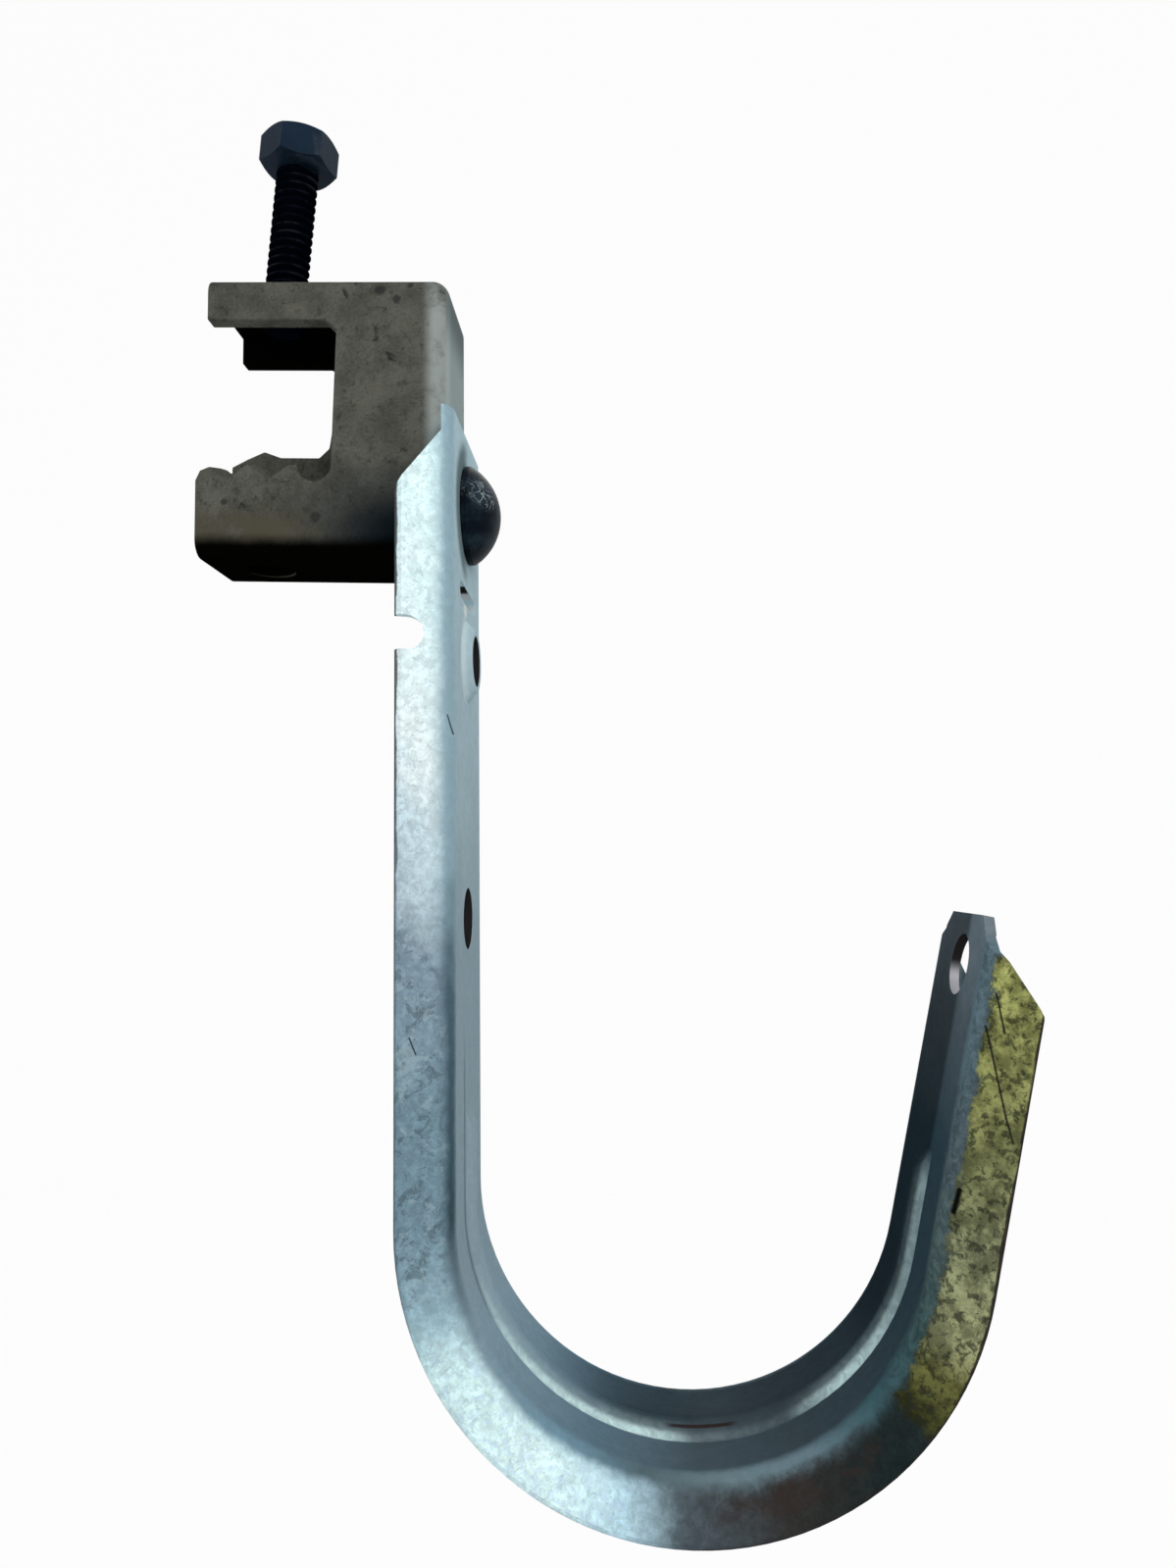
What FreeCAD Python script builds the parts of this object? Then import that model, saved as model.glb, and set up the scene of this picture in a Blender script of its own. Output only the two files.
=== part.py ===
import FreeCAD, Part
import os
import re
import Sketcher
from FreeCAD import Placement, Rotation, Vector
from math import pi, radians, tan

doc = FreeCAD.newDocument("j_hook")

# Driving sizes in millimetres and degrees
SIZES = [
    # Hook: a formed sheet channel with splayed flanges
    ("sheet", 1.45),
    ("cradle_radius", 30.75),
    ("web_face_x", 29.25),
    ("cradle_centre_z", -110.8),
    ("web_top_z", -1.3),
    ("web_flat_half", 11.0),
    ("bend_radius", 3.25),
    ("flange_depth", 6.9),
    ("flange_splay", 25.0),
    ("edge_bevel", 0.55),
    ("tip_lean", 12.0),
    ("tip_length", 46.8),
    ("tongue_half", 9.6),
    ("tongue_start", 44.2),
    ("tongue_corner", 2.2),
    ("tongue_flare", 4.0),
    ("top_slant_rise", 8.2),
    ("top_slant_end", -5.0),
    ("tip_slant_start", 35.5),
    ("tip_slant_rise", 7.0),
    ("notch_z", -33.1),
    ("notch_height", 4.6),
    ("notch_depth", 3.3),
    ("bead_half", 3.3),
    ("bead_height", 1.2),
    ("bead_back_run", 12.8),
    ("bead_tip_run", 14.2),
    ("bead_ramp", 3.5),
    ("boss_z", -34.4),
    ("boss_radius", 5.9),
    ("boss_height", 1.3),
    ("boss_flat", 0.7),
    ("boss_hole_radius", 3.7),
    ("leg_hole_z", -71.6),
    ("leg_hole_radius", 4.4),
    ("tip_hole_run", 39.6),
    ("tip_hole_radius", 4.3),
    ("pry_z", -25.2),
    ("pry_radius", 1.25),
    ("pry_half", 5.6),
    ("pry_turn", -2.0),
    # Beam clamp: a pressed steel channel with two toothed side plates
    ("plate", 2.6),
    ("clamp_half", 8.5),
    ("clamp_bend", 2.4),
    ("clamp_top_z", 20.5),
    ("clamp_bottom_z", -20.3),
    ("arm_rise", 2.0),
    ("upper_left_x", -6.8),
    ("lower_left_x", -8.25),
    ("jaw_roof_z", 14.0),
    ("throat_x", 11.4),
    ("throat_corner", 1.5),
    ("tooth_top_z", -7.1),
    ("tooth_pitch", 6.0),
    ("tooth_depth", 2.35),
    ("tooth_first_x", -3.5),
    ("tooth_slant", 35.0),
    ("root_x", 9.0),
    ("root_radius", 2.4),
    ("lower_corner", 3.2),
    ("far_jaw_z", -0.9),
    ("far_throat_x", 6.9),
    ("far_throat_lean", 6.0),
    ("far_throat_corner", 2.0),
    ("far_root", 1.5),
    ("far_tooth_x", -3.2),
    ("far_tooth_rise", 0.9),
    ("far_tooth_half", 2.6),
    ("rod_hole_radius", 3.4),
    # Set screw: quarter inch hex head screw with twenty threads to the inch
    ("screw_radius", 3.12),
    ("screw_gap", 0.08),
    ("screw_length", 25.4),
    ("screw_out", 20.9),
    ("screw_tilt", 4.9),
    ("screw_point", 0.8),
    ("head_flats", 10.0),
    ("head_turn", 20.0),
    ("head_height", 4.6),
    ("head_bevel", 30.0),
    # Rivet: domed head on the cable side, upset tail inside the clamp
    ("rivet_z", -12.8),
    ("rivet_radius", 3.15),
    ("rivet_gap", 0.05),
    ("dome_radius", 7.1),
    ("dome_height", 4.9),
    ("dome_rim", 0.9),
    ("tail_radius", 4.8),
    ("tail_height", 2.2),
    ("tail_bevel", 0.6),
]

sheet = doc.addObject("Spreadsheet::Sheet", "Sizes")
for row, (alias, size) in enumerate(SIZES, start=1):
    sheet.set(f"A{row}", alias.replace("_", " "))
    sheet.set(f"B{row}", str(size))
    sheet.setAlias(f"B{row}", alias)

# Sizes that follow from the driving ones
DERIVED = [
    ("cradle_centre_x", "web_face_x + cradle_radius"),
    ("web_back_x", "web_face_x - sheet"),
    ("flange_left_x", "web_face_x - flange_depth"),
    ("tip_x", "cradle_centre_x + cradle_radius * cos(tip_lean * 1 deg)"),
    ("tip_z", "cradle_centre_z - cradle_radius * sin(tip_lean * 1 deg)"),
    ("clamp_inside", "clamp_half - plate"),
    ("tapped_radius", "screw_radius + screw_gap"),
    ("rivet_hole_radius", "rivet_radius + rivet_gap"),
    ("screw_top_x", "clamp_top_z * tan(screw_tilt * 1 deg)"),
]
for row, (alias, formula) in enumerate(DERIVED, start=len(SIZES) + 2):
    sheet.set(f"A{row}", alias.replace("_", " "))
    sheet.set(f"B{row}", "=" + formula)
    sheet.setAlias(f"B{row}", alias)
doc.recompute()

NAMES = {alias: "Sizes." + alias for alias, _ in SIZES + DERIVED}


def bound(text):
    """Point each size named in the text at its cell of the sheet."""
    return re.sub(r"[a-z_]+", lambda found: NAMES.get(found.group(), found.group()), text)


def value(text):
    """Work out the present value of a formula."""
    answer = sheet.evalExpression(bound(text))
    return float(getattr(answer, "Value", answer))


def new_body(name):
    body = doc.addObject("PartDesign::Body", name)
    body.Label = name
    return body


def new_sketch(body, role, name, offset=""):
    """Attach a sketch to an origin plane of its own body, moved along the plane's normal."""
    plane = next(item for item in body.Origin.OriginFeatures if item.Role == role)
    sketch = body.newObject("Sketcher::SketchObject", name)
    sketch.AttachmentSupport = [(plane, "")]
    sketch.MapMode = "FlatFace"
    if offset:
        sketch.setExpression("AttachmentOffset.Base.z", bound(offset))
    return sketch


def pin(sketch, geo, end, across, up):
    """Hold one point of a sketch at two formulas measured from the sketch's origin."""
    for kind, text in (("DistanceX", across), ("DistanceY", up)):
        number = sketch.addConstraint(Sketcher.Constraint(kind, -1, 1, geo, end, value(text)))
        sketch.setExpression(f"Constraints[{number}]", bound(text))


def polygon(sketch, corners):
    """Draw a closed outline whose corners are pairs of formulas."""
    spots = [Vector(value(across), value(up), 0) for across, up in corners]
    first = sketch.GeometryCount
    count = len(corners)
    for step, spot in enumerate(spots):
        sketch.addGeometry(Part.LineSegment(spot, spots[(step + 1) % count]), False)
    for step in range(count):
        after = first + (step + 1) % count
        sketch.addConstraint(Sketcher.Constraint("Coincident", first + step, 2, after, 1))
    for step, (across, up) in enumerate(corners):
        pin(sketch, first + step, 1, across, up)
    return first


def circle(sketch, across, up, radius):
    centre = Vector(value(across), value(up), 0)
    geo = sketch.addGeometry(Part.Circle(centre, Vector(0, 0, 1), value(radius)), False)
    pin(sketch, geo, 3, across, up)
    number = sketch.addConstraint(Sketcher.Constraint("Radius", geo, value(radius)))
    sketch.setExpression(f"Constraints[{number}]", bound(radius))
    return geo


def pocket(body, sketch, name, length="", midplane=False, reverse=False):
    """Cut a sketch through a body, or over a stated length."""
    cut = body.newObject("PartDesign::Pocket", name)
    cut.Profile = sketch
    cut.SideType = "Symmetric" if midplane else "One side"
    if length:
        cut.Type = "Length"
        cut.setExpression("Length", bound(length))
    else:
        cut.Type = "ThroughAll"
    cut.Reversed = reverse
    sketch.Visibility = False
    return cut


def pad(body, sketch, name, length, midplane=False, reverse=False):
    add = body.newObject("PartDesign::Pad", name)
    add.Profile = sketch
    add.SideType = "Symmetric" if midplane else "One side"
    add.Type = "Length"
    add.setExpression("Length", bound(length))
    add.Reversed = reverse
    sketch.Visibility = False
    return add


def turned(body, kind, sketch, name):
    """Turn a sketch about the first construction line in it."""
    turn = body.newObject("PartDesign::" + kind, name)
    turn.Profile = sketch
    turn.ReferenceAxis = (sketch, ["Axis0"])
    turn.Angle = 360
    sketch.Visibility = False
    return turn


def axis_line(sketch, start, end):
    spots = [Vector(value(across), value(up), 0) for across, up in (start, end)]
    geo = sketch.addGeometry(Part.LineSegment(*spots), True)
    pin(sketch, geo, 1, *start)
    pin(sketch, geo, 2, *end)


def hook_path(body, name, start_z, tip_run):
    """The line that the web's cable face follows: down the leg, round the cradle, up the tip."""
    sketch = new_sketch(body, "XZ_Plane", name)
    centre = Vector(value("cradle_centre_x"), value("cradle_centre_z"), 0)
    radius = value("cradle_radius")
    lean = radians(value("tip_lean"))
    top = Vector(value("web_face_x"), value(start_z), 0)
    low = Vector(value("web_face_x"), value("cradle_centre_z"), 0)
    tip = Vector(value("tip_x"), value("tip_z"), 0)
    sketch.addGeometry(Part.LineSegment(top, low), False)
    round_part = Part.Circle(centre, Vector(0, 0, 1), radius)
    sketch.addGeometry(Part.ArcOfCircle(round_part, pi, 2 * pi - lean), False)
    end_x = f"tip_x + {tip_run} * sin(tip_lean * 1 deg)"
    end_z = f"tip_z + {tip_run} * cos(tip_lean * 1 deg)"
    sketch.addGeometry(Part.LineSegment(tip, Vector(value(end_x), value(end_z), 0)), False)
    sketch.addConstraint(Sketcher.Constraint("Tangent", 0, 2, 1, 1))
    sketch.addConstraint(Sketcher.Constraint("Tangent", 1, 2, 2, 1))
    pin(sketch, 0, 1, "web_face_x", start_z)
    pin(sketch, 1, 3, "cradle_centre_x", "cradle_centre_z")
    pin(sketch, 2, 2, end_x, end_z)
    number = sketch.addConstraint(Sketcher.Constraint("Radius", 1, radius))
    sketch.setExpression(f"Constraints[{number}]", bound("cradle_radius"))
    sketch.Visibility = False
    return sketch


SPLAY_SIN = "sin(flange_splay * 1 deg)"
SPLAY_COS = "cos(flange_splay * 1 deg)"


def half_section(sketch, side):
    """One bend and flange of the channel. Returns its first and last curve."""
    sign = "" if side > 0 else "0 - "
    turn = radians(value("flange_splay"))
    edge_y = f"web_flat_half + bend_radius * {SPLAY_COS}"
    edge_y += f" + (flange_depth - bend_radius * (1 - {SPLAY_SIN})) * tan(flange_splay * 1 deg)"
    corners = [
        (f"flange_left_x + edge_bevel * {SPLAY_COS}", f"{edge_y} - edge_bevel * {SPLAY_SIN}"),
        (f"flange_left_x - edge_bevel * {SPLAY_SIN}", f"{edge_y} - edge_bevel * {SPLAY_COS}"),
        (f"flange_left_x - sheet * {SPLAY_SIN}", f"{edge_y} - sheet * {SPLAY_COS}"),
    ]
    corners = [(across, f"{sign}({up})") for across, up in corners]
    centre = ("web_face_x - bend_radius", f"{sign}web_flat_half")
    spot = Vector(value(centre[0]), value(centre[1]), 0)
    arcs = []
    for radius in ("bend_radius", "bend_radius - sheet"):
        ends = (0, pi / 2 - turn) if side > 0 else (turn - pi / 2, 0)
        shape = Part.ArcOfCircle(Part.Circle(spot, Vector(0, 0, 1), value(radius)), *ends)
        arcs.append(sketch.addGeometry(shape, False))
        pin(sketch, arcs[-1], 3, *centre)
        number = sketch.addConstraint(Sketcher.Constraint("Radius", arcs[-1], value(radius)))
        sketch.setExpression(f"Constraints[{number}]", bound(radius))
    spots = [Vector(value(across), value(up), 0) for across, up in corners]
    ends = [sketch.getPoint(arcs[0], far_end(side))] + spots + [sketch.getPoint(arcs[1], far_end(side))]
    lines = [sketch.addGeometry(Part.LineSegment(a, b), False) for a, b in zip(ends, ends[1:])]
    sketch.addConstraint(Sketcher.Constraint("Tangent", arcs[0], far_end(side), lines[0], 1))
    for before, after in zip(lines, lines[1:]):
        sketch.addConstraint(Sketcher.Constraint("Coincident", before, 2, after, 1))
    sketch.addConstraint(Sketcher.Constraint("Tangent", lines[-1], 2, arcs[1], far_end(side)))
    for line, corner in zip(lines, corners):
        pin(sketch, line, 2, *corner)
    return arcs


def far_end(side):
    """The end of a bend's arc that lies toward the flange."""
    return 2 if side > 0 else 1


def channel_section(body):
    """Section of the sheet at the top of the leg: web, two bends, two splayed flanges."""
    sketch = new_sketch(body, "XY_Plane", "ChannelSection", offset="web_top_z")
    front, back = half_section(sketch, 1)
    front_low, back_low = half_section(sketch, -1)
    for low, high in ((front_low, front), (back_low, back)):
        start = sketch.getPoint(low, 2)
        end = sketch.getPoint(high, 1)
        web = sketch.addGeometry(Part.LineSegment(start, end), False)
        sketch.addConstraint(Sketcher.Constraint("Tangent", low, 2, web, 1))
        sketch.addConstraint(Sketcher.Constraint("Tangent", web, 2, high, 1))
    return sketch


def swept(body, kind, profile, path, name):
    """Run a section along a path."""
    pipe = body.newObject("PartDesign::" + kind, name)
    pipe.Profile = profile
    pipe.Spine = (path, [])
    pipe.Mode = 0
    profile.Visibility = False
    return pipe


def tip_spot(run, out):
    """Formulas for a place on the tip leg: run along it and distance out from the cable face."""
    across = f"tip_x + ({out}) * cos(tip_lean * 1 deg) + ({run}) * sin(tip_lean * 1 deg)"
    up = f"tip_z - ({out}) * sin(tip_lean * 1 deg) + ({run}) * cos(tip_lean * 1 deg)"
    return across, up


def tip_sketch(body, name):
    """Attach a sketch to the leaning face of the tip leg, its origin where the cradle ends."""
    sketch = new_sketch(body, "YZ_Plane", name)
    sketch.AttachmentOffset = Placement(Vector(0, 0, 0), Rotation(Vector(1, 0, 0), value("tip_lean")))
    sketch.setExpression("AttachmentOffset.Base.y", bound("tip_z"))
    sketch.setExpression("AttachmentOffset.Base.z", bound("tip_x"))
    sketch.setExpression("AttachmentOffset.Rotation.Angle", bound("tip_lean"))
    return sketch


# The hook

hook = new_body("j_hook")
path = hook_path(hook, "HookPath", "web_top_z", "tip_length")
swept(hook, "AdditivePipe", channel_section(hook), path, "FormedStrip")

# Flanges cut to a slant at the top of the leg and at the tip
slant = new_sketch(hook, "XZ_Plane", "TopSlant")
polygon(slant, [
    ("web_back_x", "web_top_z + 2"),
    ("flange_left_x - 2", "web_top_z + 2"),
    ("flange_left_x - 2", "top_slant_end - top_slant_rise - 2 * top_slant_rise / flange_depth"),
    ("web_back_x", "top_slant_end"),
])
pocket(hook, slant, "TopSlantCut", midplane=True)

slant = new_sketch(hook, "XZ_Plane", "TipSlant")
polygon(slant, [
    tip_spot("tip_slant_start + tip_slant_rise", "sheet"),
    tip_spot("tip_slant_start - 2 * tip_slant_rise / flange_depth", "flange_depth + 2"),
    tip_spot("tip_length + 2", "flange_depth + 2"),
    tip_spot("tip_length + 2", "sheet"),
])
pocket(hook, slant, "TipSlantCut", midplane=True)

# The tongue that is left at the tip is narrower than the web and has round corners
trim = tip_sketch(hook, "TongueTrim")
for side in ("", "0 - "):
    polygon(trim, [
        (f"{side}tongue_half", "tongue_start"),
        (f"{side}(web_flat_half + bend_radius + 2)", "tongue_start - tongue_flare"),
        (f"{side}(web_flat_half + bend_radius + 2)", "tip_length + 2"),
        (f"{side}(tongue_half - tongue_corner)", "tip_length + 2"),
        (f"{side}(tongue_half - tongue_corner)", "tip_length"),
        (f"{side}tongue_half", "tip_length - tongue_corner"),
    ])
pocket(hook, trim, "TongueTrimCut", length="4 * sheet", midplane=True)

# Round-ended notch in the free edge of both flanges
notch = new_sketch(hook, "XZ_Plane", "FlangeNotch")
polygon(notch, [
    ("flange_left_x - 2", "notch_z - notch_height / 2"),
    ("flange_left_x + notch_depth - notch_height / 2", "notch_z - notch_height / 2"),
    ("flange_left_x + notch_depth - notch_height / 2", "notch_z + notch_height / 2"),
    ("flange_left_x - 2", "notch_z + notch_height / 2"),
])
pocket(hook, notch, "FlangeNotchCut", midplane=True)
notch = new_sketch(hook, "XZ_Plane", "NotchEnd")
circle(notch, "flange_left_x + notch_depth - notch_height / 2", "notch_z", "notch_height / 2")
pocket(hook, notch, "NotchEndCut", midplane=True)

# Stiffening bead pressed into the web round the cradle, open behind
BEAD_START = "cradle_centre_z + bead_back_run"
BEAD_ARC = "((bead_half * bead_half + bead_height * bead_height) / (2 * bead_height))"


def bead_section(name, inward, half):
    """A shallow round-topped section across the middle of the web."""
    sketch = new_sketch(hook, "XY_Plane", name, offset=BEAD_START)
    face = f"web_face_x - {inward}"
    peak = f"{face} + bead_height"
    ends = [Vector(value(face), value(f"0 - {half}"), 0), Vector(value(face), value(half), 0)]
    arc = Part.Arc(ends[0], Vector(value(peak), 0, 0), ends[1])
    sketch.addGeometry(arc, False)
    root = f"{face} - sheet / 4"
    corners = [(face, half), (root, half), (root, f"0 - {half}"), (face, f"0 - {half}")]
    for before, after in zip(corners, corners[1:]):
        spots = [Vector(value(across), value(up), 0) for across, up in (before, after)]
        sketch.addGeometry(Part.LineSegment(*spots), False)
    for before, after in ((0, 1), (1, 2), (2, 3)):
        sketch.addConstraint(Sketcher.Constraint("Coincident", before, 2, after, 1))
    sketch.addConstraint(Sketcher.Constraint("Coincident", 3, 2, 0, 1))
    for line, corner in ((1, corners[0]), (2, corners[1]), (3, corners[2])):
        pin(sketch, line, 1, *corner)
    pin(sketch, 3, 2, *corners[3])
    number = sketch.addConstraint(Sketcher.Constraint("Radius", 0, value(BEAD_ARC)))
    sketch.setExpression(f"Constraints[{number}]", bound(BEAD_ARC))
    return sketch


bead_path = hook_path(hook, "BeadPath", BEAD_START, "bead_tip_run")
swept(hook, "AdditivePipe", bead_section("BeadSection", "0", "bead_half"), bead_path, "Bead")

back = bead_section("BeadBackSection", "sheet", "(bead_half - sheet / 4)")
swept(hook, "SubtractivePipe", back, bead_path, "BeadBack")

# Each end of the bead runs out in a slope
ramp = new_sketch(hook, "XZ_Plane", "BeadRamps")
polygon(ramp, [
    ("web_face_x", BEAD_START),
    ("web_face_x", f"{BEAD_START} + 1"),
    ("web_face_x + 1.5 * bead_height", f"{BEAD_START} + 1"),
    ("web_face_x + 1.5 * bead_height", f"{BEAD_START} - 1.5 * bead_ramp"),
])
polygon(ramp, [
    tip_spot("bead_tip_run", "0"),
    tip_spot("bead_tip_run + 1", "0"),
    tip_spot("bead_tip_run + 1", "0 - 1.5 * bead_height"),
    tip_spot("bead_tip_run - 1.5 * bead_ramp", "0 - 1.5 * bead_height"),
])
pocket(hook, ramp, "BeadRampCut", length="3 * bead_half", midplane=True)

# Raised boss round the middle hole of the leg, and the three round holes
boss = new_sketch(hook, "XZ_Plane", "BossSection")
polygon(boss, [
    ("web_face_x - sheet / 2", "boss_z"),
    ("web_face_x - sheet / 2", "boss_z + boss_radius"),
    ("web_face_x", "boss_z + boss_radius"),
    ("web_face_x + boss_height", "boss_z + boss_hole_radius + boss_flat"),
    ("web_face_x + boss_height", "boss_z"),
])
axis_line(boss, ("web_face_x - 5", "boss_z"), ("web_face_x + 5", "boss_z"))
turned(hook, "Revolution", boss, "Boss")
hollow = new_sketch(hook, "XZ_Plane", "BossHollow")
polygon(hollow, [
    ("web_back_x - 1", "boss_z"),
    ("web_back_x - 1", "boss_z + boss_radius - sheet / 2"),
    ("web_back_x", "boss_z + boss_radius - sheet / 2"),
    ("web_back_x + boss_height", "boss_z + boss_hole_radius + boss_flat - sheet / 2"),
    ("web_back_x + boss_height", "boss_z"),
])
axis_line(hollow, ("web_face_x - 5", "boss_z"), ("web_face_x + 5", "boss_z"))
turned(hook, "Groove", hollow, "BossHollowCut")

holes = new_sketch(hook, "YZ_Plane", "LegHoles", offset="web_face_x")
circle(holes, "0", "boss_z", "boss_hole_radius")
circle(holes, "0", "leg_hole_z", "leg_hole_radius")
circle(holes, "0", "rivet_z", "rivet_hole_radius")
pocket(hook, holes, "LegHoleCut", length="4 * (sheet + boss_height)", midplane=True)
holes = tip_sketch(hook, "TipHole")
circle(holes, "0", "tip_hole_run", "tip_hole_radius")
pocket(hook, holes, "TipHoleCut", length="4 * sheet", midplane=True)

# Slanted pry slot between the rivet and the boss
pry = new_sketch(hook, "YZ_Plane", "PrySlot", offset="web_face_x")
for sign in (1, -1):
    across = f"{sign} * pry_half * cos(pry_turn * 1 deg)"
    up = f"pry_z + {sign} * pry_half * sin(pry_turn * 1 deg)"
    circle(pry, across, up, "pry_radius")
pocket(hook, pry, "PrySlotCut", length="4 * sheet", midplane=True)
pry = new_sketch(hook, "YZ_Plane", "PryMiddle", offset="web_face_x")
polygon(pry, [
    (f"{a} * pry_half * cos(pry_turn * 1 deg) - {b} * pry_radius * sin(pry_turn * 1 deg)",
     f"pry_z + {a} * pry_half * sin(pry_turn * 1 deg) + {b} * pry_radius * cos(pry_turn * 1 deg)")
    for a, b in ((1, 1), (-1, 1), (-1, -1), (1, -1))
])
pocket(hook, pry, "PryMiddleCut", length="4 * sheet", midplane=True)


# The beam clamp

clamp = new_body("beam_clamp")
block = new_sketch(clamp, "XZ_Plane", "ClampOutline")


def on_arm(across, height):
    """A place on a line that crosses the set screw at a height and climbs toward the jaw's mouth."""
    return across, f"{height} - ({across}) * tan(arm_rise * 1 deg)"


polygon(block, [
    on_arm("lower_left_x", "clamp_bottom_z"),
    on_arm("web_back_x", "clamp_bottom_z"),
    on_arm("web_back_x", "clamp_top_z"),
    on_arm("upper_left_x", "clamp_top_z"),
    on_arm("upper_left_x", "jaw_roof_z - 4"),
    on_arm("lower_left_x", "jaw_roof_z - 4"),
])
pad(clamp, block, "ClampBlock", "2 * clamp_half", midplane=True)
doc.recompute()


def edges_where(body, test):
    """Names of the tip shape's straight edges that pass a test on their middle and direction."""
    names = []
    for number, edge in enumerate(body.Shape.Edges, start=1):
        middle = edge.valueAt((edge.FirstParameter + edge.LastParameter) / 2)
        if test(middle, edge.tangentAt(edge.FirstParameter)):
            names.append(f"Edge{number}")
    return names


top_z = value("clamp_top_z")
low_z = value("clamp_bottom_z")
back_x = value("web_back_x")
half_y = value("clamp_half")


def on_bend(middle, way):
    level = middle.z + middle.x * tan(radians(value("arm_rise")))
    at_side = abs(abs(middle.y) - half_y) < 0.01
    at_back = abs(middle.x - back_x) < 0.01
    along = abs(level - top_z) < 0.01 or abs(level - low_z) < 0.01 or at_back
    return (at_side and along) or (at_back and abs(way.y) > 0.9)


bent = edges_where(clamp, on_bend)
bends = clamp.newObject("PartDesign::Fillet", "ClampBends")
bends.Base = (doc.getObject("ClampBlock"), bent)
bends.setExpression("Radius", bound("clamp_bend"))

hollow = new_sketch(clamp, "XZ_Plane", "ClampHollow")
polygon(hollow, [
    on_arm("lower_left_x - 2", "clamp_bottom_z + plate"),
    on_arm("web_back_x - plate", "clamp_bottom_z + plate"),
    on_arm("web_back_x - plate", "clamp_top_z - plate"),
    on_arm("lower_left_x - 2", "clamp_top_z - plate"),
])
pocket(clamp, hollow, "ClampHollowCut", length="2 * clamp_inside", midplane=True)



def jaw_sketch(name, offset=""):
    """Attach a sketch to the clamp's middle plane, turned so that its level follows the arms."""
    sketch = new_sketch(clamp, "XZ_Plane", name)
    sketch.AttachmentOffset = Placement(Vector(0, 0, 0), Rotation(Vector(0, 0, -1), value("arm_rise")))
    sketch.setExpression("AttachmentOffset.Rotation.Angle", bound("arm_rise"))
    if offset:
        sketch.setExpression("AttachmentOffset.Base.z", bound(offset))
    return sketch


# Jaw opening of the near side plate, with its row of teeth
jaw = jaw_sketch("NearJaw")
polygon(jaw, [
    ("lower_left_x - 2", "tooth_top_z"),
    ("throat_x", "tooth_top_z"),
    ("throat_x", "jaw_roof_z - throat_corner"),
    ("throat_x - throat_corner", "jaw_roof_z"),
    ("lower_left_x - 2", "jaw_roof_z"),
])
pocket(clamp, jaw, "NearJawCut", length="clamp_half + 1", reverse=True)
root = jaw_sketch("NearRoot")
circle(root, "root_x", "tooth_top_z - tooth_depth + root_radius", "root_radius")
pocket(clamp, root, "NearRootCut", length="clamp_half + 1", reverse=True)

teeth = jaw_sketch("NearTeeth", offset="clamp_half")
for step in (0, 1):
    middle = f"tooth_first_x + {step} * tooth_pitch"
    polygon(teeth, [
        (f"{middle} - tooth_pitch / 2", "tooth_top_z"),
        (middle, "tooth_top_z - tooth_depth"),
        (f"{middle} + tooth_pitch / 2", "tooth_top_z"),
    ])
cut = pocket(clamp, teeth, "NearTeethCut", length="2 * plate")
cut.UseCustomVector = True
cut.Direction = Vector(0, 1, tan(radians(value("tooth_slant"))))

# The far side plate stands higher, with one tooth at its outer end
jaw = jaw_sketch("FarJaw")
FAR_TOP = "far_throat_x + (jaw_roof_z - far_jaw_z - far_root) * tan(far_throat_lean * 1 deg)"
polygon(jaw, [
    ("lower_left_x - 2", "far_jaw_z - 3 * far_tooth_rise"),
    ("far_tooth_x - far_tooth_half", "far_jaw_z - far_tooth_rise / 3"),
    ("far_tooth_x", "far_jaw_z + far_tooth_rise"),
    ("far_tooth_x + far_tooth_half", "far_jaw_z"),
    ("far_throat_x - far_root", "far_jaw_z"),
    ("far_throat_x", "far_jaw_z + far_root"),
    (FAR_TOP, "jaw_roof_z - far_throat_corner"),
    (f"{FAR_TOP} - far_throat_corner", "jaw_roof_z"),
    ("lower_left_x - 2", "jaw_roof_z"),
])
pocket(clamp, jaw, "FarJawCut", length="clamp_half + 1")

# The free corner of the lower jaw is rounded off
round_off = jaw_sketch("LowerCorner")
CORNER_X = "lower_left_x + lower_corner"
CORNER_Z = "tooth_top_z - lower_corner"
polygon(round_off, [
    ("lower_left_x - 2", f"{CORNER_Z}"),
    ("lower_left_x", f"{CORNER_Z}"),
    (f"{CORNER_X} - lower_corner * cos(45 deg)", f"{CORNER_Z} + lower_corner * sin(45 deg)"),
    (f"{CORNER_X}", "tooth_top_z"),
    (f"{CORNER_X}", "tooth_top_z + 1"),
    ("lower_left_x - 2", "tooth_top_z + 1"),
])
pocket(clamp, round_off, "LowerCornerCut", length="clamp_half + 1", reverse=True)

# Holes: tapped for the set screw, plain for a rod, plain for the rivet
tapped = clamp.newObject("PartDesign::SubtractiveCylinder", "TappedHole")
tapped.setExpression("Radius", bound("tapped_radius"))
tapped.setExpression("Height", bound("4 * plate"))
tapped.Placement = Placement(Vector(0, 0, 0), Rotation(Vector(0, 1, 0), value("screw_tilt")))
tapped.setExpression("Placement.Rotation.Angle", bound("screw_tilt"))
tapped.setExpression("Placement.Base.x", bound("screw_top_x - 2 * plate * tan(screw_tilt * 1 deg)"))
tapped.setExpression("Placement.Base.z", bound("clamp_top_z - 2 * plate"))
rod = new_sketch(clamp, "XY_Plane", "RodHole", offset="clamp_bottom_z")
circle(rod, "0", "0", "rod_hole_radius")
pocket(clamp, rod, "RodHoleCut", length="4 * plate", midplane=True)
rivet_hole = new_sketch(clamp, "YZ_Plane", "RivetHole", offset="web_back_x")
circle(rivet_hole, "0", "rivet_z", "rivet_hole_radius")
pocket(clamp, rivet_hole, "RivetHoleCut", length="4 * plate", midplane=True)


# The set screw, drawn upright with its axis through the origin, then leaned over

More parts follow.
